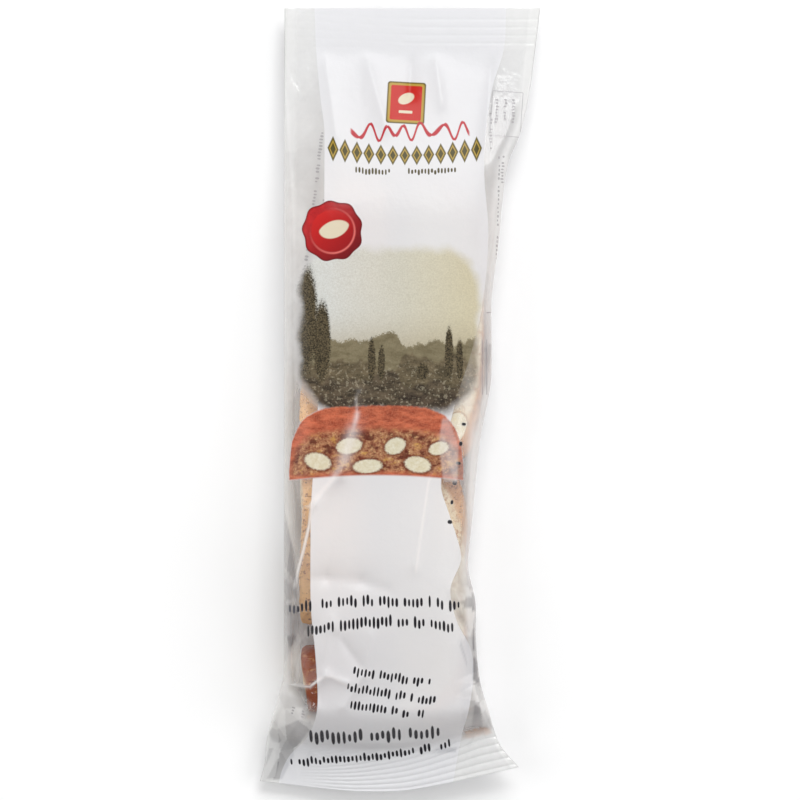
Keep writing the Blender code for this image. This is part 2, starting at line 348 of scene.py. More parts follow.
def crease_relief(x, y):
    """Ridges and furrows that fall away exponentially from a rounded crest."""
    relief = np.zeros_like(x)
    for start, end, half_width, height in CREASES:
        crest = np.sqrt(reach_from_line(x, y, start, end) ** 2 + CREASE_CREST ** 2) - CREASE_CREST
        relief += height * np.exp(-CREASE_FALL * crest / half_width)
    return relief


def facets(x, y, size, seed):
    """Relief of flat facets between uneven spots, as crushed film has, and a tone for each facet."""
    draw = random.Random(seed)
    half_across, half_along = FACET_FIELD
    spots, heights = [], []
    for i in range(int(-half_across // size[0]), int(half_across // size[0]) + 2):
        for j in range(int(-half_along // size[1]), int(half_along // size[1]) + 2):
            spots.append(Vector(((i + draw.uniform(-FACET_JITTER, FACET_JITTER)) * size[0],
                                 (j + draw.uniform(-FACET_JITTER, FACET_JITTER)) * size[1])))
            heights.append(draw.uniform(-1, 1))
    corners, _, triangles, origin, _, _ = geometry.delaunay_2d_cdt(spots, [], [], 0, 1e-6)
    relief, tone = np.zeros_like(x), np.zeros_like(x)
    for triangle in triangles:
        shade = draw.random()
        a, b, c = (corners[k] for k in triangle)
        ha, hb, hc = (heights[origin[k][0]] for k in triangle)
        area = (b.x - a.x) * (c.y - a.y) - (c.x - a.x) * (b.y - a.y)
        near = ((x >= min(a.x, b.x, c.x)) & (x <= max(a.x, b.x, c.x))
                & (y >= min(a.y, b.y, c.y)) & (y <= max(a.y, b.y, c.y)))
        px, py = x[near], y[near]
        wb = ((px - a.x) * (c.y - a.y) - (c.x - a.x) * (py - a.y)) / area
        wc = ((b.x - a.x) * (py - a.y) - (px - a.x) * (b.y - a.y)) / area
        within = (wb >= 0) & (wc >= 0) & (wb + wc <= 1)
        height = ha + wb * (hb - ha) + wc * (hc - ha)
        for values, found in ((relief, height), (tone, np.full_like(px, shade))):
            kept = values[near]
            kept[within] = found[within]
            values[near] = kept
    return relief, tone


def amount_of(spots, x, y):
    """Sum of soft-edged spots."""
    amount = np.zeros_like(x)
    for (cx, cy), (reach_x, reach_y), height in spots:
        amount += height * np.exp(-((x - cx) / reach_x) ** 2 - ((y - cy) / reach_y) ** 2)
    return amount


def shade_of(polygons, x, y):
    """Greatest strength of the polygons that each point lies in."""
    shade = np.zeros_like(x)
    for corners, strength in polygons:
        depth = np.full_like(x, 100.0)
        for (x0, y0), (x1, y1) in zip(corners, corners[1:] + corners[:1]):
            run = math.hypot(x1 - x0, y1 - y0)
            depth = np.minimum(depth, ((x1 - x0) * (y - y0) - (y1 - y0) * (x - x0)) / run)
        shade = np.maximum(shade, strength * ease(*SHADE_EDGE, depth))
    return shade


def wrinkle_at(px, py):
    broad = noise.noise(Vector((px / WRINKLE_SIZE[0], py / WRINKLE_SIZE[1], WRINKLE_LAYER)))
    fine = noise.noise(Vector((px / FINE_WRINKLE_SIZE[0], py / FINE_WRINKLE_SIZE[1], FINE_WRINKLE_LAYER)))
    return broad + FINE_WRINKLE_SHARE * fine


def film_points():
    """Rows of points round the tube, front first, from the bottom cut to the top one."""
    end = PACK_LENGTH / 2
    stations = np.concatenate((np.linspace(-end, -end + SEAL_LENGTH, SEAL_ROWS)[:-1],
                               np.linspace(-end + SEAL_LENGTH, BOTTOM_END_TOP, BOTTOM_END_ROWS)[:-1],
                               np.linspace(BOTTOM_END_TOP, end - SEAL_LENGTH, BODY_ROWS)[:-1],
                               np.linspace(end - SEAL_LENGTH, end, SEAL_ROWS)))
    rows = []
    for along in stations:
        x, front, back = tube_section(along)
        front_x, front_z = steps_along(x, front, np.linspace(0, 1, FRONT_COLUMNS + 1))
        back_x, back_z = steps_along(x, back, back_shares(x[0], x[-1]))
        ring_x = np.concatenate((front_x, back_x[-2:0:-1]))
        ring_z = np.concatenate((front_z, back_z[-2:0:-1]))
        rows.append(np.column_stack((ring_x, along + row_rise(ring_x, along), ring_z)))
    return stations, np.array(rows)


stations, film = film_points()
columns = FRONT_COLUMNS + BACK_COLUMNS
is_front = np.arange(columns) <= FRONT_COLUMNS
x, y, z = film[..., 0], film[..., 1], film[..., 2]
from_end = PACK_LENGTH / 2 - np.abs(stations)[:, None] + np.zeros_like(x)
from_side = np.minimum(x - smooth_through(LEFT_EDGE, y), smooth_through(RIGHT_EDGE, y) - x)
calm_edge = ease(0, CREASE_EDGE_CLEARANCE, from_side) * ease(0, CREASE_SEAL_CLEARANCE, from_end - SEAL_LENGTH)
wrinkles = np.array([[wrinkle_at(px, py) for px, py in zip(row_x, row_y)] for row_x, row_y in zip(x, y)])
crumpled, streaked = amount_of(CRUMPLED, x, y), amount_of(STREAKED, x, y)
small_relief, small_tone = facets(x, y, SMALL_FACETS, seed=7)
long_relief, long_tone = facets(x, y, LONG_FACETS, seed=11)
broad_relief = facets(x, y, BROAD_FACETS, seed=5)[0]
front_relief = (crease_relief(x, y) + crumpled * small_relief + streaked * long_relief
                + BROAD_FACET_HEIGHT * broad_relief + WRINKLE_HEIGHT * wrinkles) * calm_edge
haze = np.where(x < 0, smooth_through(HAZE_LEFT, y), smooth_through(HAZE_RIGHT, y))
haze = haze + amount_of(HAZED, x, y) + EDGE_HAZE * (1 - ease(*EDGE_HAZE_REACH, from_side))
seal_haze = SEAL_HAZE * (1 - ease(SEAL_LENGTH, SEAL_LENGTH + SEAL_HAZE_REACH, from_end))
haze = np.clip(np.maximum(haze, seal_haze), 0, 1)
crumpled_shade = np.where(x < 0, *CRUMPLED_SHADE) * crumpled * small_tone ** CRUMPLED_SHADE_POWER
fold_shade = np.clip(crumpled_shade + STREAKED_SHADE * streaked * long_tone
                     + shade_of(SHADED, x, y) * (FOLD_TONE[0] + FOLD_TONE[1] * small_tone), 0, 1)
# Painted highlights along the sharp folds and painted sheen of the veiling fold, on the front only
painted_highlight = np.zeros_like(x)
for start, end, half_width, strength in PAINTED_FOLD_HIGHLIGHTS:
    painted_highlight = np.maximum(painted_highlight, strength * np.exp(-(reach_from_line(x, y, start, end) / half_width) ** 2))
painted_highlight = np.maximum(painted_highlight, shade_of(PAINTED_FOLD_SHEEN, x, y)) * is_front
on_lap = ((x > SEAM[0]) & (x < SEAM[1])).astype(float)
lap_reach = 1 - ease(SEAM_REACH - SEAM_FADE, SEAM_REACH, np.abs(y - SEAM_MIDDLE))
seam_ribs = SEAM_RIB_DEPTH * (0.5 - 0.5 * np.cos(2 * math.pi * (x - SEAM[0]) / SEAM_RIB_PITCH)) * on_lap
back_relief = (SEAM_LAP * (1 - on_lap) + seam_ribs) * lap_reach
film[..., 2] = np.where(is_front, z + front_relief, z + back_relief)

# How far each point lies inside the white print's edge
front_inset = np.minimum(x - smooth_through(PANEL_LEFT, y), smooth_through(PANEL_RIGHT, y) - x)
back_inset = np.minimum(x - smooth_through(BACK_PANEL_LEFT, y), BACK_PANEL_RIGHT - x) * BACK_EDGE_SHARPNESS
panel_inset = np.where(is_front, front_inset, back_inset)

# Distance that the ribs of each seal are counted along, and how deep they are pressed
rib_lean = np.where(y > 0, RIB_LEAN * np.minimum(x - RIB_LEAN_FROM, RIB_LEAN_LONGEST), 0.0)
crowding = (1 + RIB_CROWDING * np.maximum(0, RIB_CROWDING_FROM - x)
            + RIB_CROWDING_GAIN * np.maximum(0, RIB_CROWDING_GAIN_FROM - x) ** 2)
rib_run = np.maximum(0, from_end * np.where(y < 0, crowding, 1.0) - rib_lean)
top_press = TOP_RIB_PRESS[0] + TOP_RIB_PRESS[1] * ease(*TOP_RIB_FADE, x)
rib_press = np.where(y > 0, top_press, ease(*BOTTOM_RIB_FADE, x)) * (from_end < SEAL_LENGTH)

# The skin is set in the middle of the packet's solid, at its foot
flat_points = film.reshape(-1, 3)
low_cad, high_cad = (np.array(corner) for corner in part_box("packet"))
low_film, high_film = flat_points.min(axis=0) * MM, flat_points.max(axis=0) * MM
shift = (low_cad + high_cad - low_film - high_film) / 2
shift[2] = low_cad[2] - low_film[2]
film_places = flat_points * MM + shift

# Quads round the tube, then the flat cut at each end
faces = []
for r in range(len(stations) - 1):
    for k in range(columns):
        after = (k + 1) % columns
        faces.append((r * columns + k, r * columns + after, (r + 1) * columns + after, (r + 1) * columns + k))
step = FRONT_COLUMNS // BACK_COLUMNS
for r, turned in ((0, False), (len(stations) - 1, True)):
    start = r * columns
    for j in range(BACK_COLUMNS):
        rim = [start + step * j + i for i in range(step + 1)]
        lower = [start + (columns - i) % columns for i in (j, j + 1)]
        if j + 1 == BACK_COLUMNS:
            lower[1] = rim[-1]
        corner = list(dict.fromkeys(rim + lower[::-1]))
        faces.append(corner if turned else corner[::-1])
mesh = bpy.data.meshes.new("packet_film")
mesh.from_pydata(film_places.tolist(), [], faces)
mesh.update()
bm = bmesh.new()
bm.from_mesh(mesh)
bmesh.ops.recalc_face_normals(bm, faces=bm.faces)
bm.to_mesh(mesh)
bm.free()
for name, values in (("panel_inset", panel_inset), ("rib_run", rib_run), ("rib_press", rib_press),
                     ("haze", haze), ("fold_shade", fold_shade), ("painted_highlight", painted_highlight)):
    attribute = mesh.attributes.new(name, "FLOAT", "POINT")
    attribute.data.foreach_set("value", values.astype(np.float32).ravel())
mesh.shade_smooth()

# Each face is opaque white (0), print on clear film (1), clear (2) or the printed back (3)
PRINT_ON_CLEAR_ROWS = ((-32.0, 80.0), (-60.0, -43.0), (-94.0, -76.0))
PANEL_MARGIN = 0.3
ring_inset = panel_inset.ravel()
ring_y = y.ravel()
ring_front = np.tile(is_front, len(stations))
kinds = []
for face in faces:
    inset = ring_inset[list(face)]
    at_y = ring_y[face[0]]
    on_front = ring_front[face[0]] and ring_front[face[1]]
    printed_here = on_front and any(low < at_y < high for low, high in PRINT_ON_CLEAR_ROWS)
    if inset.max() < -PANEL_MARGIN and not printed_here:
        kinds.append(2)
    elif not on_front:
        kinds.append(3)
    else:
        kinds.append(0 if inset.min() > PANEL_MARGIN else 1)
face_kind = mesh.attributes.new("face_kind", "INT", "FACE")
face_kind.data.foreach_set("value", kinds)

# Print: fields of colour and simple shapes, placed in millimetres on the packet. Depth is divided
# by FLATTEN, so that a mark is the same at any height
FLATTEN = 1e6


def feed(tree, socket, value):
    """Link a socket to another node's output, or set it to a plain value."""
    if isinstance(value, bpy.types.NodeSocket):
        tree.links.new(value, socket)
    elif socket.type == "RGBA":
        socket.default_value = (*value, 1)
    else:
        socket.default_value = value


def add_node(tree, kind, inputs):
    """A new node with its inputs fed by name or number."""
    node = tree.nodes.new(kind)
    for key, value in inputs.items():
        feed(tree, node.inputs[key], value)
    return node


def calc(tree, operation, *values, clamp=False):
    node = tree.nodes.new("ShaderNodeMath")
    node.operation = operation
    node.use_clamp = clamp
    for socket, value in zip(node.inputs, values):
        feed(tree, socket, value)
    return node.outputs[0]


def product(tree, first, *others):
    for other in others:
        first = calc(tree, "MULTIPLY", first, other)
    return first


def step_down(tree, value, edge, soft):
    """1 below an edge and 0 above it, with a soft change between."""
    node = add_node(tree, "ShaderNodeMapRange", {"Value": value, "From Min": edge - soft,
                                                 "From Max": edge + soft, "To Min": 1, "To Max": 0})
    node.interpolation_type = "SMOOTHSTEP"
    return node.outputs["Result"]


def step_up(tree, value, edge, soft):
    return calc(tree, "SUBTRACT", 1.0, step_down(tree, value, edge, soft))


def place(tree, where, centre, size, turn=0.0):
    """Coordinates about a centre, turned by degrees and divided by a size."""
    node = add_node(tree, "ShaderNodeMapping", {"Vector": where, "Location": (centre[0], centre[1], 0),
                                                "Rotation": (0, 0, math.radians(turn)),
                                                "Scale": (size[0], size[1], FLATTEN)})
    node.vector_type = "TEXTURE"
    return node.outputs["Vector"]


def vector(tree, operation, *values):
    node = tree.nodes.new("ShaderNodeVectorMath")
    node.operation = operation
    for socket, value in zip(node.inputs, values):
        feed(tree, socket, value)
    return node.outputs["Value" if operation == "LENGTH" else "Vector"]


def split(tree, where):
    node = tree.nodes.new("ShaderNodeSeparateXYZ")
    tree.links.new(where, node.inputs[0])
    return node.outputs["X"], node.outputs["Y"]


def oval(tree, where, centre, size, turn=0.0, soft=0.06):
    return step_down(tree, vector(tree, "LENGTH", place(tree, where, centre, size, turn)), 1.0, soft)


def plate_reach(tree, where, centre, half, turn=0.0, corner=0.3):
    local = place(tree, where, centre, (1, 1), turn)
    over = vector(tree, "SUBTRACT", vector(tree, "ABSOLUTE", local), (half[0] - corner, half[1] - corner, 0))
    return vector(tree, "LENGTH", vector(tree, "MAXIMUM", over, (0, 0, 0)))


def plate(tree, where, centre, half, turn=0.0, corner=0.3, soft=0.12):
    return step_down(tree, plate_reach(tree, where, centre, half, turn, corner), corner, soft)


def ink(tree, under, colour, mask, strength=1.0):
    """A colour laid over another where the mask says, and thinly where its strength is below 1."""
    if strength != 1.0:
        mask = calc(tree, "MULTIPLY", mask, strength)
    node = tree.nodes.new("ShaderNodeMix")
    node.data_type = "RGBA"
    for socket, value in ((node.inputs["Factor"], mask), (node.inputs[6], under), (node.inputs[7], colour)):
        feed(tree, socket, value)
    return node.outputs[2]


def grain(tree, where, scale, detail=3.0, roughness=0.6):
    node = add_node(tree, "ShaderNodeTexNoise", {"Vector": where, "Scale": scale, "Detail": detail,
                                                 "Roughness": roughness})
    return node.outputs["Fac"]


def contrast(tree, value, gain):
    return calc(tree, "MULTIPLY_ADD", value, gain, 0.5 - gain / 2, clamp=True)


def colour_of(red, green, blue):
    """Colour in linear light from its levels on a screen, 0 to 255."""
    def linear(value):
        value /= 255
        return value / 12.92 if value <= 0.04045 else ((value + 0.055) / 1.055) ** 2.4
    return linear(red), linear(green), linear(blue)


def in_millimetres(tree):
    node = tree.nodes.new("ShaderNodeVectorMath")
    node.operation = "SCALE"
    feed(tree, node.inputs[0], tree.nodes.new("ShaderNodeTexCoord").outputs["Object"])
    feed(tree, node.inputs["Scale"], 1 / MM)
    return node.outputs["Vector"]


def given_values(tree, *labels):
    """Values that the mesh carries, by label."""
    given = {}
    for label in labels:
        node = tree.nodes.new("ShaderNodeAttribute")
        node.attribute_name = label
        given[label] = node.outputs["Fac"]
    return given


def bumps(tree, height, strength, distance):
    node = add_node(tree, "ShaderNodeBump", {"Height": height, "Strength": strength, "Distance": distance})
    return node.outputs["Normal"]


def mixed(tree, share, first, second):
    return add_node(tree, "ShaderNodeMixShader", {0: share, 1: first, 2: second}).outputs[0]


def new_material(name):
    material = bpy.data.materials.new(name)
    material.use_nodes = True
    return material, material.node_tree


def beads(tree, along, up, pitch, height, seed, gaps=0.15, widths=(0.5, 0.24)):
    """A row of fine upright strokes of uneven height and place, with gaps between groups."""
    cell = calc(tree, "DIVIDE", along, pitch)
    draw = tree.nodes.new("ShaderNodeTexWhiteNoise")
    draw.noise_dimensions = "1D"
    tree.links.new(calc(tree, "ADD", calc(tree, "FLOOR", cell), seed * 0.371), draw.inputs["W"])
    chances = tree.nodes.new("ShaderNodeSeparateColor")
    tree.links.new(draw.outputs["Color"], chances.inputs[0])
    width = calc(tree, "MULTIPLY_ADD", chances.outputs[1], widths[1], widths[0])
    across = calc(tree, "MULTIPLY_ADD", calc(tree, "FRACT", cell), 2.0, -1.0)
    across = calc(tree, "POWER", calc(tree, "ABSOLUTE", calc(tree, "DIVIDE", across, width)), 2.0)
    half = calc(tree, "MULTIPLY_ADD", calc(tree, "FRACT", calc(tree, "MULTIPLY", chances.outputs[1], 7.0)),
                0.26 * height, 0.3 * height)
    middle = calc(tree, "MULTIPLY_ADD", chances.outputs[2], 0.34 * height, 0.36 * height)
    tall = calc(tree, "DIVIDE", calc(tree, "SUBTRACT", up, middle), half)
    tall = calc(tree, "POWER", calc(tree, "ABSOLUTE", tall), 3.0)
    mark = step_down(tree, calc(tree, "ADD", across, tall), 1.0, 0.4)
    return calc(tree, "MULTIPLY", mark, calc(tree, "GREATER_THAN", chances.outputs[0], gaps))


def bead_row(tree, where, centre, count, pitch, height, turn, bow, seed, **shape):
    along, up = split(tree, place(tree, where, centre, (1, 1), turn))
    along = calc(tree, "ADD", along, pitch * count / 2)
    middle = calc(tree, "SUBTRACT", along, pitch * count / 2)
    up = calc(tree, "MULTIPLY_ADD", calc(tree, "MULTIPLY", middle, middle), -bow, up)
    marks = beads(tree, along, up, pitch, height, seed, **shape)
    return product(tree, marks, calc(tree, "GREATER_THAN", along, 0.0),
                   calc(tree, "LESS_THAN", along, pitch * count))


PRINT_WHITE = colour_of(238, 238, 240)
INK_BLACK = colour_of(38, 36, 42)
INK_GREY = colour_of(120, 112, 118)
INK_OLIVE = colour_of(104, 92, 36)
INK_GOLD = colour_of(196, 164, 72)
INK_RED = colour_of(208, 44, 36)
SCRIPT_RED = colour_of(196, 52, 62)
WAX_RED = colour_of(206, 44, 46)
WAX_DARK = colour_of(112, 24, 30)
CREAM = colour_of(236, 226, 200)


def landscape(tree, where, base):
    """Soft-edged grainy picture of wooded hills and cypresses under a pale sky."""
    centre, half, corner = (-2.8, 17.3), (24.0, 21.6), 12.0
    wobble = calc(tree, "MULTIPLY_ADD", grain(tree, where, 0.16, 4.0, 0.55), 4.0, -2.0)
    reach = calc(tree, "ADD", plate_reach(tree, where, centre, half, 0, corner), wobble)
    mask = step_down(tree, reach, corner - 1.4, 1.7)
    across, up = split(tree, where)
    haze = calc(tree, "MULTIPLY_ADD", across, 1 / 40, 0.45, clamp=True)
    sky = ink(tree, colour_of(234, 237, 234), colour_of(226, 217, 184), haze)
    sky = ink(tree, sky, colour_of(192, 179, 150), step_down(tree, up, 14.5, 9.0))
    speck = grain(tree, where, 2.4, 4.0, 0.75)
    patches = grain(tree, place(tree, where, (0, 0), (2.2, 1.0)), 0.5, 4.0, 0.62)
    sky = ink(tree, sky, colour_of(150, 142, 118), contrast(tree, speck, 3.0), 0.30)
    ridge = tree.nodes.new("ShaderNodeTexNoise")
    ridge.noise_dimensions = "1D"
    ridge.inputs["Scale"].default_value = 0.12
    ridge.inputs["Detail"].default_value = 3.0
    tree.links.new(across, ridge.inputs["W"])
    roll = ridge.outputs["Fac"]
    picture = sky
    # Ridges from far to near: height, swing, and their light and dark colours
    for base_height, swing, light, dark in ((14.8, -12.0, (150, 140, 112), (118, 108, 82)),
                                            (9.5, 15.0, (136, 122, 96), (74, 66, 50)),
                                            (5.0, -14.0, (120, 106, 86), (48, 42, 34)),
                                            (0.5, 10.0, (104, 90, 74), (40, 34, 30))):
        height = calc(tree, "MULTIPLY_ADD", calc(tree, "SUBTRACT", roll, 0.5), swing, base_height)
        height = calc(tree, "MULTIPLY_ADD", calc(tree, "SUBTRACT", speck, 0.5), 3.4, height)
        hill = step_down(tree, calc(tree, "SUBTRACT", up, height), 0.0, 0.4)
        tone = calc(tree, "ADD", product(tree, contrast(tree, patches, 4.5), 0.6),
                    product(tree, contrast(tree, speck, 4.0), 0.4))
        picture = ink(tree, picture, ink(tree, colour_of(*dark), colour_of(*light), tone), hill)
    sunlit = step_up(tree, grain(tree, where, 1.3, 2.0, 0.6), 0.60, 0.05)
    sunlit = calc(tree, "MULTIPLY", sunlit, step_down(tree, up, 9.0, 3.0))
    picture = ink(tree, picture, colour_of(196, 186, 160), sunlit, 0.4)
    bark = ink(tree, colour_of(46, 42, 32), colour_of(112, 100, 76), contrast(tree, speck, 5.0))
    # Trees: place and half size
    for px, py, wide, tall in ((-23.4, 20.5, 3.1, 14.0), (-19.4, 14.5, 2.3, 10.5), (-26.0, 12.0, 2.4, 10.0),
                               (-7.0, 10.0, 1.0, 5.6), (-4.6, 9.0, 0.9, 4.6), (12.2, 11.5, 1.1, 7.0),
                               (14.8, 10.0, 0.9, 5.4), (5.6, 7.0, 1.6, 2.2)):
        shape = vector(tree, "LENGTH", place(tree, where, (px, py), (wide, tall)))
        frayed = calc(tree, "MULTIPLY_ADD", speck, 0.9, shape)
        picture = ink(tree, picture, bark, step_down(tree, frayed, 1.38, 0.14))
    return ink(tree, base, picture, mask), mask


def slice_picture(tree, where, base):
    """A cut rusk: browned dome over an open crumb with pale almonds."""
    centre, half = (-5.9, -20.0), (21.7, 17.2)
    frayed = calc(tree, "MULTIPLY_ADD", grain(tree, where, 0.45, 4.0), 0.16, -0.08)
    across, up = split(tree, place(tree, where, centre, half))
    bow = calc(tree, "MULTIPLY_ADD", calc(tree, "MULTIPLY", across, across), 0.08, -0.08)
    up = calc(tree, "ADD", up, bow)

    def dome(wide, tall, soft):
        far = calc(tree, "POWER", calc(tree, "ABSOLUTE", calc(tree, "DIVIDE", across, wide)), 6.0)
        high = calc(tree, "POWER", calc(tree, "MAXIMUM", calc(tree, "DIVIDE", up, tall), 0.0), 2.6)
        return step_down(tree, calc(tree, "ADD", calc(tree, "ADD", far, high), frayed), 1.0, soft)

    mask = product(tree, dome(1.0, 1.0, 0.05), step_up(tree, up, 0.0, 0.02))
    streak = grain(tree, place(tree, where, (0, 0), (2.6, 1.0)), 0.6, 5.0, 0.65)
    speck = grain(tree, where, 0.95, 5.0, 0.72)
    fine = grain(tree, where, 2.6, 3.0, 0.7)
    crust = ink(tree, colour_of(152, 66, 46), colour_of(222, 120, 86), contrast(tree, streak, 4.0))
    crust = ink(tree, crust, colour_of(226, 142, 108), contrast(tree, fine, 5.0), 0.35)
    crumb = ink(tree, colour_of(138, 74, 54), colour_of(210, 158, 116), contrast(tree, speck, 4.0))
    crumb = ink(tree, crumb, colour_of(232, 200, 142), step_up(tree, speck, 0.62, 0.06), 0.7)
    crumb = ink(tree, crumb, colour_of(100, 46, 34), step_up(tree, fine, 0.60, 0.05), 0.7)
    pocket = grain(tree, place(tree, where, (0, 0), (1.6, 1.0), 12), 0.42, 3.0, 0.6)
    crumb = ink(tree, crumb, colour_of(96, 40, 30), step_up(tree, pocket, 0.57, 0.05), 0.85)
    crumb = ink(tree, crumb, colour_of(226, 178, 96), step_down(tree, pocket, 0.38, 0.06), 0.6)
    inner = product(tree, dome(0.97, 0.66, 0.3), step_up(tree, up, 0.05, 0.05))
    picture = ink(tree, crust, crumb, inner)
    # Cut almonds: place, half size and turn
    for px, py, wide, tall, turn in ((-20.4, -15.2, 3.7, 2.3, -14), (-12.6, -11.4, 3.6, 2.2, 10),
                                     (-8.0, -16.4, 4.1, 1.9, 4), (-1.2, -11.4, 3.0, 2.2, 24),
                                     (4.4, -16.0, 3.7, 2.2, -10), (9.6, -12.0, 2.8, 1.8, 16)):
        rim = calc(tree, "MULTIPLY_ADD", fine, 0.4,
                   vector(tree, "LENGTH", place(tree, where, (px, py), (wide, tall), turn)))
        picture = ink(tree, picture, colour_of(112, 54, 36), step_down(tree, rim, 1.28, 0.14), 0.7)
        flesh = ink(tree, colour_of(222, 212, 176), colour_of(246, 242, 222), contrast(tree, speck, 2.5))
        picture = ink(tree, picture, flesh, step_down(tree, rim, 1.08, 0.12))
    return ink(tree, base, picture, mask), mask


def wax_badge(tree, where, base):
    """Red wax roundel with a scalloped rim, a raised ring and an almond."""
    centre, radius = (-16.8, 42.0), 7.9
    local = place(tree, where, centre, (radius, radius))
    across, up = split(tree, local)
    turn = calc(tree, "ARCTAN2", up, across)
    scallop = calc(tree, "COSINE", calc(tree, "MULTIPLY_ADD", turn, 9.0, 0.6))
    uneven = calc(tree, "SINE", calc(tree, "MULTIPLY_ADD", turn, 4.0, 1.1))
    bulge = calc(tree, "ADD", calc(tree, "MULTIPLY", scallop, 0.032), calc(tree, "MULTIPLY", uneven, 0.02))
    reach = calc(tree, "ADD", vector(tree, "LENGTH", local), bulge)
    mask = step_down(tree, reach, 0.95, 0.012)
    shade = calc(tree, "MULTIPLY_ADD", calc(tree, "SUBTRACT", across, up), 0.42, 0.42, clamp=True)
    colour = ink(tree, WAX_RED, WAX_DARK, shade)
    mottle = grain(tree, where, 0.5, 3.0, 0.6)
    colour = ink(tree, colour, colour_of(148, 30, 36), contrast(tree, mottle, 4.0), 0.45)
    colour = ink(tree, colour, WAX_DARK, step_up(tree, reach, 0.91, 0.05))
    plain = vector(tree, "LENGTH", local)
    ring = product(tree, step_down(tree, plain, 0.73, 0.03), step_up(tree, plain, 0.67, 0.03))
    lit = calc(tree, "MULTIPLY_ADD", calc(tree, "SUBTRACT", up, across), -0.6, 0.5, clamp=True)
    colour = ink(tree, colour, colour_of(238, 122, 116), product(tree, ring, lit))
    disc = ink(tree, colour_of(214, 44, 42), colour_of(150, 26, 32), shade)
    colour = ink(tree, colour, disc, step_down(tree, plain, 0.66, 0.03))
    almond = product(tree, oval(tree, where, (centre[0] + 0.4, centre[1] + 1.0), (3.9, 2.7), 24),
                     oval(tree, where, (centre[0] + 0.4, centre[1] - 0.5), (4.3, 2.9), 24))
    return ink(tree, ink(tree, base, colour, mask), CREAM, almond), mask


def red_tile(tree, where, colour):
    """A tilted red tile with a gold and an olive edge, a pale almond and a bar."""
    tile = place(tree, where, (1.5, 74.2), (1, 1), -3)
    colour = ink(tree, colour, INK_OLIVE, plate(tree, tile, (0, 0), (4.8, 5.3), 0, 0.7))
    colour = ink(tree, colour, INK_GOLD, plate(tree, tile, (0, 0), (4.45, 4.95), 0, 0.6, 0.2))
    colour = ink(tree, colour, INK_RED, plate(tree, tile, (0, 0), (3.9, 4.4), 0, 0.4))
    colour = ink(tree, colour, CREAM, oval(tree, tile, (0.0, 1.1), (2.1, 1.3), 28, 0.1))
    return ink(tree, colour, CREAM, plate(tree, tile, (0.0, -2.3), (1.7, 0.35), 0, 0.2, 0.1))


def flourish(tree, where, colour):
    """A looping red pen stroke, thinner where it is steep."""
    across, up = split(tree, where)
    span = step_down(tree, calc(tree, "ABSOLUTE", calc(tree, "SUBTRACT", across, 2.5)), 14.8, 0.3)
    swell = calc(tree, "SINE", calc(tree, "MULTIPLY_ADD", across, 0.31, 0.4))
    turn = calc(tree, "MULTIPLY_ADD", across, 1.35, swell)
    high = calc(tree, "MULTIPLY_ADD", calc(tree, "MULTIPLY", swell, swell), 1.4, 0.9)
    line = calc(tree, "MULTIPLY_ADD", calc(tree, "SINE", turn), high,
                calc(tree, "MULTIPLY_ADD", across, 0.03, 66.9))
    stroke = calc(tree, "MULTIPLY_ADD", calc(tree, "ABSOLUTE", calc(tree, "COSINE", turn)), 0.5, 0.28)
    thread = calc(tree, "DIVIDE", calc(tree, "ABSOLUTE", calc(tree, "SUBTRACT", up, line)), stroke)
    return ink(tree, colour, SCRIPT_RED, product(tree, step_down(tree, thread, 1.0, 0.35), span))


def garland(tree, where, colour):
    """A bowed row of edged lozenges."""
    links, link = 13, 2.98
    across, up = split(tree, where)
    curve = calc(tree, "POWER", calc(tree, "DIVIDE", calc(tree, "SUBTRACT", across, 1.2), 19.0), 2.0)
    band = calc(tree, "SUBTRACT", up, calc(tree, "MULTIPLY_ADD", curve, 1.9, 60.9))
    cell = calc(tree, "DIVIDE", calc(tree, "ADD", across, links * link / 2 - 1.2), link)
    from_middle = calc(tree, "ABSOLUTE", calc(tree, "SUBTRACT", calc(tree, "FRACT", cell), 0.5))
    tall = calc(tree, "MULTIPLY_ADD", curve, 0.8, 2.5)
    lozenge = calc(tree, "ADD", calc(tree, "MULTIPLY", from_middle, 2.15),
                   calc(tree, "DIVIDE", calc(tree, "ABSOLUTE", band), tall))
    reach = product(tree, calc(tree, "GREATER_THAN", cell, 0.0), calc(tree, "LESS_THAN", cell, float(links)))
    for tone, edge in ((INK_OLIVE, 1.0), (INK_GOLD, 0.70), (colour_of(84, 76, 30), 0.50)):
        colour = ink(tree, colour, tone, product(tree, step_down(tree, lozenge, edge, 0.08), reach))
    return colour


def heading(tree, where, colour):
    for part in (red_tile, flourish, garland):
        colour = part(tree, where, colour)
    fine_line = bead_row(tree, where, (1.8, 56.0), 32, 0.82, 1.5, 0, 0.002, 11)
    return ink(tree, colour, colour_of(82, 72, 36), fine_line)


# Fine marks beside the panel and on the back: middle, number, pitch, height, turn, bow and seed
FINE_MARK_ROWS = (
    ((-20.9, 49.0), 44, 0.82, 1.0, 83.0, 0.0006, 5),
    ((-18.7, 41.0), 22, 0.82, 1.0, 86.0, 0.0, 15),
    ((-25.6, -75.2), 9, 0.72, 0.9, 74.0, 0.0, 23),
    ((-23.2, -76.4), 8, 0.72, 0.9, 74.0, 0.0, 33),
    ((23.2, 67.2), 12, 0.80, 0.9, 90.0, 0.0, 43),
    ((26.1, 57.5), 9, 0.80, 0.9, 88.0, 0.0, 55),
    ((24.5, 40.0), 40, 1.05, 0.5, 88.5, 0.0, 61),
)
FINE_MARK_RULES = (
    ((20.5, 8.2), (0.14, 6.9), 0),
    ((21.6, 8.2), (0.14, 6.9), 0),
    ((22.3, 21.8), (0.8, 0.16), 4),
)
FINE_MARK_STRENGTH = 0.8


def marks_in_rows(tree, where, marks, rows):
    for row in rows:
        marks = calc(tree, "MAXIMUM", marks, bead_row(tree, where, *row))
    return marks


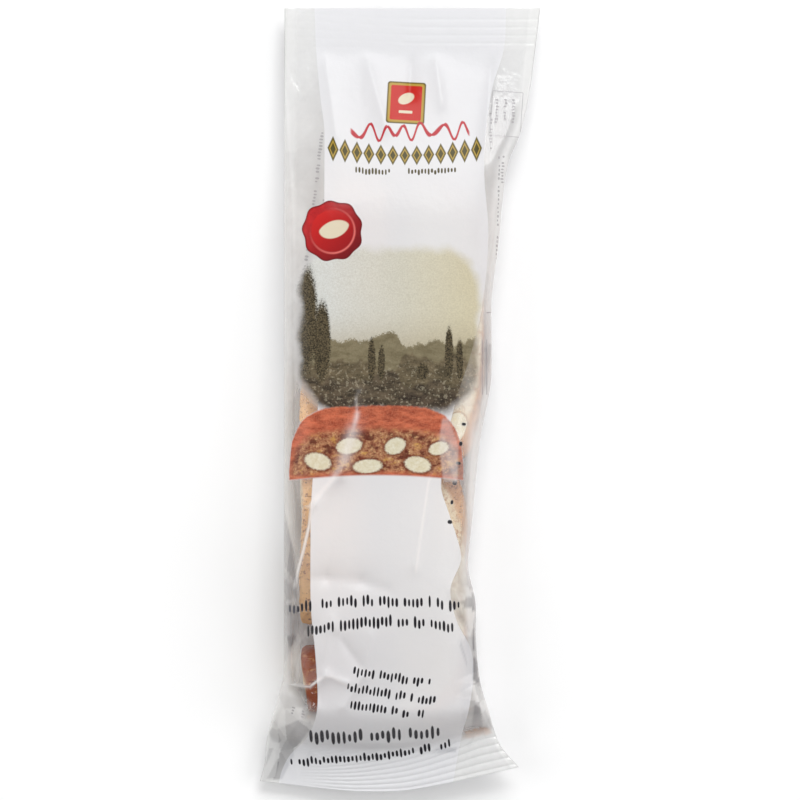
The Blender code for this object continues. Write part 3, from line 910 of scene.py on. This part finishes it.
def fine_marks(tree, where):
    """Mask of the rows of fine marks along the sides, a few rules and a ruled box near the top."""
    marks = marks_in_rows(tree, where, 0.0, FINE_MARK_ROWS)
    for middle, half, turn in FINE_MARK_RULES:
        marks = calc(tree, "MAXIMUM", marks, plate(tree, where, middle, half, turn, 0.1, 0.08))
    box = plate_reach(tree, where, (26.6, 71.5), (3.9, 5.7), -4, 0.3)
    box_line = product(tree, step_down(tree, box, 0.3, 0.08), step_up(tree, box, 0.12, 0.08))
    marks = calc(tree, "MAXIMUM", marks, box_line)
    rows_in_box = [((26.6 + shift, 72.2), 8, 0.8, 0.9, 87.0, 0.0, 71 + shift) for shift in (-1.9, 0.2, 2.2)]
    return product(tree, marks_in_rows(tree, where, marks, rows_in_box), FINE_MARK_STRENGTH)


# Rows of bold upright marks on the front: middle, number, pitch, height, turn, bow and seed
BOLD_ROWS = (
    ((-6.4, -51.2), 42, 1.02, 2.7, 1.0, -0.0040, 3),
    ((-4.9, -56.4), 36, 1.02, 2.7, 1.0, -0.0060, 17),
    ((-2.2, -69.9), 21, 0.94, 2.3, -9.0, 0.0, 29),
    ((-2.4, -74.2), 24, 0.94, 2.3, -9.0, 0.0, 41),
    ((-3.4, -78.2), 20, 0.94, 2.3, -8.0, 0.0, 53),
    ((-5.6, -85.4), 25, 1.38, 3.3, 2.5, 0.0010, 71),
    ((-7.2, -90.6), 40, 1.02, 2.1, 6.5, 0.0030, 87),
)
# A row of plain dots beside the pictured slice, given in the same way
DOT_ROW = ((14.6, -18.2), 6, 4.9, 1.1, 82.0, 0.0, 9)

# How much light each layer of the film lets through it, and the most that its gloss can mirror
PRINT_GLOW = 0.27
HAZE_GLOW = 0.35
GLOSS_LIMIT = 0.3


def front_print(tree, where, given):
    """Colour of the printed front, and how much print there is on the clear film beside the panel."""
    colour, covered = PRINT_WHITE, []
    for picture in (landscape, slice_picture, wax_badge):
        colour, mask = picture(tree, where, colour)
        covered.append(mask)
    colour = heading(tree, where, colour)
    marks = bead_row(tree, where, *DOT_ROW, gaps=0.0, widths=(0.1, 0.14))
    marks = marks_in_rows(tree, where, marks, BOLD_ROWS)
    colour = ink(tree, colour, INK_BLACK, marks)
    # The pictures thin out where they run on to the clear film at the right
    across = split(tree, where)[0]
    wear = calc(tree, "MULTIPLY_ADD", step_up(tree, across, 14.0, 3.0), -0.45, 1.0)
    for mask in covered:
        marks = calc(tree, "MAXIMUM", marks, calc(tree, "MULTIPLY", mask, wear))
    beside_panel = product(tree, fine_marks(tree, where), step_down(tree, given["panel_inset"], 0.0, 0.1),
                           step_down(tree, marks, 0.5, 0.1))
    colour = ink(tree, colour, INK_GREY, beside_panel)
    on_clear = calc(tree, "MAXIMUM", marks, product(tree, beside_panel, 0.8))
    # Painted highlights along the folds whiten the print, and painted shade in the folds greys it
    colour = ink(tree, colour, colour_of(255, 252, 252), given["painted_highlight"], 0.85)
    return ink(tree, colour, colour_of(128, 130, 142), given["fold_shade"], 0.5), on_clear


def print_shader(tree, colour, normal):
    """White film with its print, through which a little light passes."""
    white = add_node(tree, "ShaderNodeBsdfPrincipled", {"Base Color": colour, "Normal": normal,
                                                        "Roughness": 0.25, "Specular IOR Level": 0.25})
    glow = add_node(tree, "ShaderNodeBsdfTranslucent", {"Color": colour})
    return mixed(tree, PRINT_GLOW, white.outputs[0], glow.outputs[0])


def clear_shader(tree, where, given, normal):
    """Clear film: milky by its haze, darkened by painted shade in its folds, whitened by painted highlights
    along them, and glossy on top.
    """
    tint = ink(tree, (0.98, 0.98, 0.98), (0.60, 0.59, 0.60), given["fold_shade"])
    see_through = add_node(tree, "ShaderNodeBsdfTransparent", {"Color": tint})
    milk_colour = ink(tree, (0.92, 0.92, 0.91), (0.30, 0.29, 0.30), given["fold_shade"])
    milk = add_node(tree, "ShaderNodeBsdfPrincipled", {"Base Color": milk_colour, "Roughness": 0.5,
                                                       "Specular IOR Level": 0.0})
    milk_glow = add_node(tree, "ShaderNodeBsdfTranslucent", {"Color": milk_colour})
    milky = mixed(tree, HAZE_GLOW, milk.outputs[0], milk_glow.outputs[0])
    cloud = calc(tree, "MULTIPLY_ADD", grain(tree, where, 0.14, 3.0, 0.6), 0.4, 0.8)
    haze = calc(tree, "MULTIPLY", given["haze"], cloud, clamp=True)
    # Painted highlights along the folds make the film milky white there
    hazy = mixed(tree, calc(tree, "MAXIMUM", haze, given["painted_highlight"]), see_through.outputs[0], milky)
    gloss = add_node(tree, "ShaderNodeBsdfPrincipled", {"Base Color": (1, 1, 1), "Metallic": 1.0,
                                                        "Roughness": 0.1, "Normal": normal})
    fresnel = add_node(tree, "ShaderNodeFresnel", {"IOR": 1.5, "Normal": normal})
    shine = calc(tree, "MINIMUM", fresnel.outputs[0], GLOSS_LIMIT)
    return mixed(tree, shine, hazy, gloss.outputs[0])


def film_material(name, printed, clear, on_back=False):
    material, tree = new_material(name)
    tree.nodes.clear()
    output = tree.nodes.new("ShaderNodeOutputMaterial")
    where = in_millimetres(tree)
    normal = bumps(tree, grain(tree, where, 0.55, 3.0, 0.55), 0.35, 0.0002)
    given = given_values(tree, "haze", "fold_shade", "painted_highlight", "panel_inset")
    if on_back:
        colour, on_clear = ink(tree, PRINT_WHITE, INK_GREY, fine_marks(tree, where)), 0.0
    elif printed:
        colour, on_clear = front_print(tree, where, given)
    if printed:
        surface = print_shader(tree, colour, normal)
    if clear:
        clear_film = clear_shader(tree, where, given, normal)
        if printed:
            coverage = calc(tree, "MAXIMUM", step_up(tree, given["panel_inset"], 0.0, 0.1), on_clear)
            surface = mixed(tree, coverage, clear_film, surface)
        else:
            surface = clear_film
    feed(tree, output.inputs["Surface"], surface)
    return material


# In the order of the numbers of the faces
film_materials = (film_material("printed_film", printed=True, clear=False),
                  film_material("print_on_clear_film", printed=True, clear=True),
                  film_material("clear_film", printed=False, clear=True),
                  film_material("printed_back_film", printed=True, clear=True, on_back=True))


def named_value(tree, data_type, name):
    node = tree.nodes.new("GeometryNodeInputNamedAttribute")
    node.data_type = data_type
    node.inputs["Name"].default_value = name
    return node.outputs["Attribute"]


def sized_tree(name, inputs):
    """A Geometry Nodes tree with a named input for each size, its group nodes and those inputs."""
    tree = bpy.data.node_groups.new(name, "GeometryNodeTree")
    tree.interface.new_socket("Geometry", in_out="INPUT", socket_type="NodeSocketGeometry")
    sizes = {}
    for label, kind in inputs.items():
        sizes[label] = tree.interface.new_socket(label, in_out="INPUT", socket_type=kind)
    tree.interface.new_socket("Geometry", in_out="OUTPUT", socket_type="NodeSocketGeometry")
    return tree, sizes, tree.nodes.new("NodeGroupInput").outputs, tree.nodes.new("NodeGroupOutput")


def crimp_tree():
    """Geometry Nodes that press the ribs into both seals and give each face its film."""
    tree, sizes, given, result = sized_tree("crimped_seals", {"Rib Pitch": "NodeSocketFloat",
                                                              "Rib Depth": "NodeSocketFloat",
                                                              "Groove Half Width": "NodeSocketFloat"})
    run = named_value(tree, "FLOAT", "rib_run")
    phase = calc(tree, "FRACT", calc(tree, "DIVIDE", run, given["Rib Pitch"]))
    from_groove = calc(tree, "MULTIPLY", calc(tree, "SUBTRACT", phase, 0.5), given["Rib Pitch"])
    share = calc(tree, "DIVIDE", from_groove, given["Groove Half Width"])
    groove = calc(tree, "EXPONENT", calc(tree, "MULTIPLY", calc(tree, "MULTIPLY", share, share), -1.0))
    height = product(tree, groove, named_value(tree, "FLOAT", "rib_press"), given["Rib Depth"], -1.0)
    offset = add_node(tree, "ShaderNodeCombineXYZ", {"Z": height})
    move = add_node(tree, "GeometryNodeSetPosition", {"Geometry": given["Geometry"],
                                                      "Offset": offset.outputs[0]})
    last = add_node(tree, "GeometryNodeRealizeInstances", {0: move.outputs[0]}).outputs[0]
    kind = named_value(tree, "INT", "face_kind")
    for index, material in enumerate(film_materials):
        same = tree.nodes.new("FunctionNodeCompare")
        same.data_type = "INT"
        same.operation = "EQUAL"
        feed(tree, same.inputs[2], kind)
        feed(tree, same.inputs[3], index)
        last = add_node(tree, "GeometryNodeSetMaterial", {"Geometry": last, "Selection": same.outputs[0],
                                                          "Material": material}).outputs[0]
    feed(tree, result.inputs[0], last)
    return tree, sizes


def new_object(name, data):
    made = bpy.data.objects.new(name, data)
    bpy.context.scene.collection.objects.link(made)
    return made


def plain_mesh(obj, name):
    """Replace an object's mesh by what its modifiers make, and drop the modifiers."""
    bpy.context.view_layer.update()
    evaluated = obj.evaluated_get(bpy.context.evaluated_depsgraph_get())
    made = bpy.data.meshes.new_from_object(evaluated)
    made.name = name
    obj.modifiers.clear()
    obj.data = made


def run_tree(obj, tree, sizes, values):
    """Run a tree on an object, with its inputs set by their sockets' identifiers."""
    modifier = obj.modifiers.new(tree.name, "NODES")
    modifier.node_group = tree
    for label, value in values.items():
        modifier[sizes[label].identifier] = value
    plain_mesh(obj, obj.name)


packet_film = new_object("packet_film", mesh)
run_tree(packet_film, *crimp_tree(), {"Rib Pitch": CRIMP_PITCH, "Rib Depth": CRIMP_DEPTH * MM,
                                      "Groove Half Width": CRIMP_GROOVE})
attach(packet_film, "root")
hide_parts("packet")

# The rusks.
# Slices of a twice-baked almond loaf: a flat browned base, a domed crust, and two cut faces
# of dry open crumb with cut almonds. Each is modelled from its outline, remeshed and pitted.
RUSK_VOXEL = 0.5
WORN_EDGE = 0.9
FILM_CLEARANCE = 0.35
FILM_SIDE_CLEARANCE = 0.9
ALMOND_HALF = (5.6, 3.4, 2.9)
ALMOND_PROUD = 0.35
ALMOND_EVERY = 11.0
ALMOND_PLACES = (0.28, 0.68)
ALMOND_TURN = 0.9
ALMOND_SCALES = (0.75, 1.1)
OUTLINE_ENDS = 0.4
OUTLINE_DOME = 0.52
OUTLINE_FOOT = 0.4
BASE_SHARE = 0.24
CUT_FROM = 0.12
CUT_SOFTNESS = 0.3
RIM_FROM = 0.9
RIM_SOFTNESS = 0.1
BASE_CRUST = 1.0
BASE_CRUST_SOFTNESS = 0.5
SEED_STEP = (31.0, 17.0)
RAY_START = 0.05

# Relief of the rusks: height and rate of each noise; for pores and cracks also where they begin
LUMPS = ((0.5, 0.10), (0.22, 0.35))
PORES = ((1.5, 0.55, 0.22), (0.55, 1.3, 0.25))
CRACKS = (0.2, 0.16, 0.05)
BLISTERS = (0.12, 1.1)
CRUMB_GRAIN = (0.10, 2.2)
CRACK_LAYER = 40


def rusk_outline(length, height, steps=72):
    """Outline of a cut face, base down: low at the ends and arched between."""
    base = BASE_SHARE * height
    points = []
    for i in range(steps):
        turn = 2 * math.pi * i / steps
        c, s = math.cos(turn), math.sin(turn)
        across = math.copysign(abs(c) ** OUTLINE_ENDS, c) * length / 2
        if s > 0:
            up = base + (height - base) * abs(s) ** OUTLINE_DOME
        else:
            up = base - base * abs(s) ** OUTLINE_FOOT
        points.append((across, up))
    return points


film_surface = BVHTree.FromPolygons([Vector(p) for p in film_places], [list(face) for face in faces])


def room_at(px, py):
    """Lowest and highest place for a crumb or rusk inside the film here, or None outside it."""
    above = film_surface.ray_cast(Vector((px, py, RAY_START)), Vector((0, 0, -1)))[0]
    below = film_surface.ray_cast(Vector((px, py, -RAY_START)), Vector((0, 0, 1)))[0]
    if above is None or below is None:
        return None
    return below.z + FILM_CLEARANCE * MM, above.z - FILM_CLEARANCE * MM


def almond_share(points, length, height, thickness, draw):
    """How far each point lies inside one of the almonds that the cut faces show."""
    share = np.zeros(len(points))
    for _ in range(max(2, round(length / ALMOND_EVERY))):
        middle = np.array((draw.uniform(-0.4, 0.4) * length, draw.choice((-0.5, 0.5)) * thickness,
                           draw.uniform(*ALMOND_PLACES) * height))
        turn = draw.uniform(-ALMOND_TURN, ALMOND_TURN)
        scale = draw.uniform(*ALMOND_SCALES)
        off = points - middle
        along = off[:, 0] * math.cos(turn) + off[:, 2] * math.sin(turn)
        up = off[:, 2] * math.cos(turn) - off[:, 0] * math.sin(turn)
        reach = np.sqrt((along / ALMOND_HALF[0]) ** 2 + (up / ALMOND_HALF[1]) ** 2
                        + (off[:, 1] / ALMOND_HALF[2]) ** 2) / scale
        share = np.maximum(share, np.clip((1.25 - reach) / 0.5, 0, 1))
    return share


def crust_ring(points, length, height):
    """Browned rim of a cut face, about a millimetre wide."""
    base = BASE_SHARE * height
    along = np.abs(points[:, 0]) / (length / 2)
    up = np.maximum(0, points[:, 2] - base) / (height - base)
    reach = along ** (1 / OUTLINE_ENDS) + up ** (1 / OUTLINE_DOME)
    rim = np.clip((reach - RIM_FROM) / RIM_SOFTNESS, 0, 1)
    return np.maximum(rim, np.clip((BASE_CRUST - points[:, 2]) / BASE_CRUST_SOFTNESS, 0, 1))


def slice_mesh(name, length, height, thickness):
    """A plain slice: two cut faces and the crust between them."""
    bm = bmesh.new()
    outline = rusk_outline(length, height)
    near = [bm.verts.new((px, -thickness / 2, pz)) for px, pz in outline]
    far = [bm.verts.new((px, thickness / 2, pz)) for px, pz in outline]
    bm.faces.new(near)
    bm.faces.new(far[::-1])
    for i in range(len(outline)):
        j = (i + 1) % len(outline)
        bm.faces.new((near[i], far[i], far[j], near[j]))
    bmesh.ops.recalc_face_normals(bm, faces=bm.faces)
    mesh = bpy.data.meshes.new(name)
    bm.to_mesh(mesh)
    bm.free()
    return mesh


def noise_at(spot, height, rate):
    return height * noise.noise(spot * rate)


def rusk_relief(spot, cut, almond):
    """How far a point stands out: pores and almonds on a cut face, cracks and blisters on crust."""
    lumps = sum(noise_at(spot, *size) for size in LUMPS)
    pores = sum(min(0.0, noise.noise(spot * rate) + start) * depth for depth, rate, start in PORES)
    depth, rate, half_width = CRACKS
    crack = -depth * max(0.0, 1 - abs(noise.noise(spot * rate + Vector((0, 0, CRACK_LAYER)))) / half_width)
    on_cut = pores * (1 - almond) + ALMOND_PROUD * almond
    on_crust = crack + noise_at(spot, *BLISTERS)
    return lumps + noise_at(spot, *CRUMB_GRAIN) * (1 - almond) + cut * on_cut + (1 - cut) * on_crust


def keep_inside(world):
    """Move points that would touch the film back into the packet, first across and then in depth."""
    from_left = smooth_through(LEFT_EDGE, world[:, 1] / MM) + FILM_SIDE_CLEARANCE
    from_right = smooth_through(RIGHT_EDGE, world[:, 1] / MM) - FILM_SIDE_CLEARANCE
    world[:, 0] = np.clip(world[:, 0] / MM, from_left, from_right) * MM
    for i, (px, py, pz) in enumerate(world):
        room = room_at(px, py)
        if room:
            world[i, 2] = min(max(pz, room[0]), room[1])


def make_rusk(name, length, height, thickness, place_matrix, seed, toast):
    """A rusk modelled upright in millimetres, then pitted, laid in place and kept inside the film."""
    rusk = new_object(name, slice_mesh(name, length, height, thickness))
    bevel = rusk.modifiers.new("worn_edges", "BEVEL")
    bevel.width = WORN_EDGE
    bevel.segments = 3
    remesh = rusk.modifiers.new("even_mesh", "REMESH")
    remesh.mode = "VOXEL"
    remesh.voxel_size = RUSK_VOXEL
    plain_mesh(rusk, name)
    mesh = rusk.data
    count = len(mesh.vertices)
    points, normals = np.empty(count * 3), np.empty(count * 3)
    mesh.vertices.foreach_get("co", points)
    mesh.vertices.foreach_get("normal", normals)
    points, normals = points.reshape(-1, 3), normals.reshape(-1, 3)
    almond = almond_share(points, length, height, thickness, random.Random(seed))
    cut = np.clip((np.abs(normals[:, 1]) - CUT_FROM) / CUT_SOFTNESS, 0, 1)
    own_spot = Vector((seed * SEED_STEP[0], seed * SEED_STEP[1], 0))
    pushes = [rusk_relief(Vector(p) + own_spot, c, a) for p, c, a in zip(points, cut, almond)]
    moved = points + normals * np.array(pushes)[:, None]
    matrix = np.array(place_matrix)
    world = (moved @ matrix[:3, :3].T + matrix[:3, 3]) * MM
    keep_inside(world)
    mesh.vertices.foreach_set("co", world.ravel())
    crust = np.maximum(1 - cut, crust_ring(points, length, height))
    for label, values in (("crust", crust), ("almond", almond * cut), ("toast", np.full(count, toast))):
        attribute = mesh.attributes.new(label, "FLOAT", "POINT")
        attribute.data.foreach_set("value", values.astype(np.float32))
    mesh.materials.clear()
    mesh.materials.append(rusk_material)
    mesh.shade_smooth()
    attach(rusk, "root")


def make_rusk_material():
    """Browned crust, pale crumb and cut almonds, each where the mesh says."""
    material, tree = new_material("baked_rusk")
    shader = tree.nodes["Principled BSDF"]
    where = in_millimetres(tree)
    given = given_values(tree, "crust", "almond", "toast")
    patches = grain(tree, where, 0.16, 3.0, 0.6)
    specks = grain(tree, where, 0.9, 4.0, 0.65)
    bake = calc(tree, "ADD", contrast(tree, patches, 1.6), given["toast"], clamp=True)
    crust = ink(tree, colour_of(255, 202, 136), colour_of(156, 72, 26), bake)
    crust = ink(tree, crust, colour_of(122, 56, 26), step_up(tree, specks, 0.60, 0.05), 0.75)
    crust = ink(tree, crust, colour_of(240, 190, 128), step_down(tree, specks, 0.38, 0.06), 0.5)
    crumb = ink(tree, colour_of(242, 216, 172), colour_of(252, 242, 220), contrast(tree, patches, 2.4))
    crumb = ink(tree, colour_of(190, 126, 70), crumb,
                calc(tree, "MULTIPLY_ADD", specks, 5.0, -1.6, clamp=True))
    colour = ink(tree, crumb, crust, given["crust"])
    frayed = calc(tree, "MULTIPLY_ADD", calc(tree, "SUBTRACT", specks, 0.5), 0.5, given["almond"])
    colour = ink(tree, colour, colour_of(176, 116, 66), step_up(tree, frayed, 0.36, 0.08), 0.75)
    flesh = ink(tree, colour_of(236, 220, 184), colour_of(252, 246, 228), contrast(tree, specks, 2.0))
    colour = ink(tree, colour, flesh, step_up(tree, frayed, 0.5, 0.08))
    feed(tree, shader.inputs["Base Color"], colour)
    feed(tree, shader.inputs["Normal"], bumps(tree, grain(tree, where, 2.6, 4.0, 0.7), 0.6, 0.0004))
    shader.inputs["Roughness"].default_value = 0.75
    shader.inputs["Specular IOR Level"].default_value = 0.3
    return material


rusk_material = make_rusk_material()


def lie(middle, lean, on_cut_face=False, swing=0.0):
    """Place a slice along the packet, on its base or, with its dome to the right, on a cut face."""
    along = Matrix.Rotation(math.radians(90 + swing), 4, "Z")
    tip = Matrix.Rotation(math.radians(lean), 4, "Y")
    if on_cut_face:
        tip = tip @ Matrix.Rotation(math.radians(90), 4, "Y")
    return Matrix.Translation(middle) @ tip @ along


# Name, length, height, thickness, place, seed and how dark it is baked
RUSKS = (
    ("rusk_left_top", 45.0, 14.5, 14.5, lie((-10.6, 33.0, 1.0), 2), 1, -0.25),
    ("rusk_left_middle", 64.0, 17.0, 16.0, lie((-15.9, -24.0, 1.0), -3, swing=-0.3), 2, -0.4),
    ("rusk_left_end", 17.0, 16.0, 16.5, lie((-15.0, -69.3, 1.0), -3, swing=6.5), 3, 0.85),
    ("rusk_right_top", 69.0, 19.0, 14.0, lie((1.9, 18.5, 8.2), 0, on_cut_face=True, swing=-4.2), 4, 0.1),
    ("rusk_right_bottom", 62.0, 18.5, 15.0, lie((-1.6, -47.0, 8.6), 0, on_cut_face=True, swing=-3.5), 5, 0.0),
)
for rusk_details in RUSKS:
    make_rusk(*rusk_details)

# Loose crumbs.
# Specks of dry crumb that have slid to the bottom end of the packet and lie in the fold above
# the seal. Geometry Nodes string them along guide lines, with a fixed seed.
CRUMB_LINES = (
    ((16.6, -84.1), (22.1, -82.8)),
    ((17.0, -83.5), (21.8, -82.3)),
    ((14.0, -62.0), (17.0, -78.0)),
    ((-24.0, -79.5), (-6.0, -82.0)),
)
CRUMBS_PER_LINE = 46
CRUMB_SIZE = 0.7
CRUMB_FLATTEST = 0.0001
CRUMB_SCATTER = (0.7, 0.45)
CRUMB_UNEVENNESS = 0.35
CRUMB_UNEVENNESS_RATE = 1.7
CRUMB_LEVEL_OUTSIDE = (0.004, 0.006)


def crumb_tree(material):
    """Geometry Nodes that string turned and flattened crumbs along the guide lines."""
    tree, sizes, given, result = sized_tree("strung_crumbs", {"Crumbs per Line": "NodeSocketInt",
                                                              "Crumb Size": "NodeSocketFloat",
                                                              "Scatter Across": "NodeSocketFloat",
                                                              "Scatter Along": "NodeSocketFloat"})

    def draw(low, high, seed):
        node = tree.nodes.new("FunctionNodeRandomValue")
        node.data_type = "FLOAT_VECTOR"
        node.inputs[0].default_value = low
        node.inputs[1].default_value = high
        node.inputs["Seed"].default_value = seed
        return node.outputs[0]

    lines = add_node(tree, "GeometryNodeMeshToCurve", {"Mesh": given["Geometry"]})
    spread = add_node(tree, "GeometryNodeResampleCurve", {"Curve": lines.outputs[0],
                                                          "Count": given["Crumbs per Line"]})
    reach = add_node(tree, "ShaderNodeCombineXYZ", {"X": given["Scatter Across"],
                                                    "Y": given["Scatter Along"]})
    offset = vector(tree, "MULTIPLY", draw((-1, -1, 0), (1, 1, 0), 3), reach.outputs[0])
    move = add_node(tree, "GeometryNodeSetPosition", {"Geometry": spread.outputs[0], "Offset": offset})
    crumb = add_node(tree, "GeometryNodeMeshIcoSphere", {"Subdivisions": 2, "Radius": given["Crumb Size"]})
    instances = add_node(tree, "GeometryNodeInstanceOnPoints", {
        "Points": move.outputs[0], "Instance": crumb.outputs["Mesh"],
        "Rotation": draw((0, 0, 0), (6.28, 6.28, 6.28), 4),
        "Scale": draw((0.25, 0.25, 0.25), (1.0, 0.8, 0.7), 5)})
    realize = add_node(tree, "GeometryNodeRealizeInstances", {0: instances.outputs[0]})
    dress = add_node(tree, "GeometryNodeSetMaterial", {"Geometry": realize.outputs[0], "Material": material})
    feed(tree, result.inputs[0], dress.outputs[0])
    return tree, sizes


def crumb_material():
    material, tree = new_material("loose_crumb")
    shader = tree.nodes["Principled BSDF"]
    tone = contrast(tree, grain(tree, in_millimetres(tree), 0.9, 3.0, 0.6), 5.0)
    feed(tree, shader.inputs["Base Color"], ink(tree, colour_of(164, 94, 38), colour_of(232, 170, 92), tone))
    shader.inputs["Roughness"].default_value = 0.85
    return material


guide = bpy.data.meshes.new("loose_crumbs")
guide.from_pydata([(gx, gy, 0) for line in CRUMB_LINES for gx, gy in line],
                  [(2 * i, 2 * i + 1) for i in range(len(CRUMB_LINES))], [])
loose_crumbs = new_object("loose_crumbs", guide)
run_tree(loose_crumbs, *crumb_tree(crumb_material()), {"Crumbs per Line": CRUMBS_PER_LINE,
                                                       "Crumb Size": CRUMB_SIZE,
                                                       "Scatter Across": CRUMB_SCATTER[0],
                                                       "Scatter Along": CRUMB_SCATTER[1]})

# The string of crumbs is laid on the back of the film and held clear of the front
for vertex in loose_crumbs.data.vertices:
    spot = vertex.co
    chip = 1 + CRUMB_UNEVENNESS * noise.noise(spot * CRUMB_UNEVENNESS_RATE)
    room = room_at(spot.x * MM, spot.y * MM)
    low, high = room if room else CRUMB_LEVEL_OUTSIDE
    middle = (low + high) / 2
    low, high = min(low, middle - CRUMB_FLATTEST), max(high, middle + CRUMB_FLATTEST)
    vertex.co = (spot.x * MM, spot.y * MM, min(low + (spot.z * chip + CRUMB_SIZE) * MM, high))
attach(loose_crumbs, "root")

# Floor, light and camera.
# A plain pale table under soft studio light, looked straight down on as in the photograph.
FLOOR_HALF = 2.5
FLOOR_LEVEL = -0.0003
floor_mesh = bpy.data.meshes.new("floor")
floor_mesh.from_pydata([(sx * FLOOR_HALF, sy * FLOOR_HALF, FLOOR_LEVEL)
                        for sx, sy in ((-1, -1), (1, -1), (1, 1), (-1, 1))], [], [(0, 1, 2, 3)])
floor = new_object("floor", floor_mesh)
floor_paint, paint_tree = new_material("pale_table")
paint_tree.nodes["Principled BSDF"].inputs["Base Color"].default_value = (0.95, 0.95, 0.95, 1)
paint_tree.nodes["Principled BSDF"].inputs["Roughness"].default_value = 0.8
floor_mesh.materials.append(floor_paint)

world = bpy.data.worlds.new("studio")
bpy.context.scene.world = world
world.use_nodes = True
world.node_tree.nodes["Background"].inputs["Color"].default_value = (1, 1, 1, 1)
world.node_tree.nodes["Background"].inputs["Strength"].default_value = 0.46


def soft_box(name, place_at, width, height, power):
    """A lamp behind a square of cloth, turned to the packet."""
    data = bpy.data.lights.new(name, "AREA")
    data.shape = "RECTANGLE"
    data.size = width
    data.size_y = height
    data.energy = power
    light = new_object(name, data)
    light.location = place_at
    light.rotation_euler = (-Vector(place_at)).to_track_quat("-Z", "Y").to_euler()


soft_box("key_top", (0.2, 0.8, 1.0), width=0.8, height=0.6, power=8.6)
soft_box("spark", (0.3, 1.15, 0.7), width=0.1, height=0.1, power=0.6)
soft_box("spark_low", (-0.5, -0.9, 0.9), width=0.1, height=0.1, power=0.5)
soft_box("left", (-1.0, 0.1, 0.6), width=0.9, height=0.9, power=4.2)
soft_box("right", (1.0, -0.1, 0.65), width=0.9, height=0.9, power=4.2)

LENS = 250.0
SENSOR = 36.0
FRAME_WIDTH = 0.200
SUBJECT_HEIGHT = 0.008
camera_data = bpy.data.cameras.new("camera")
camera_data.lens = LENS
camera_data.sensor_width = SENSOR
camera_data.clip_start = 0.05
camera = new_object("camera", camera_data)
camera.location = (0, 0, SUBJECT_HEIGHT + FRAME_WIDTH * LENS / SENSOR)
bpy.context.scene.camera = camera
bpy.context.scene.view_settings.view_transform = "Standard"
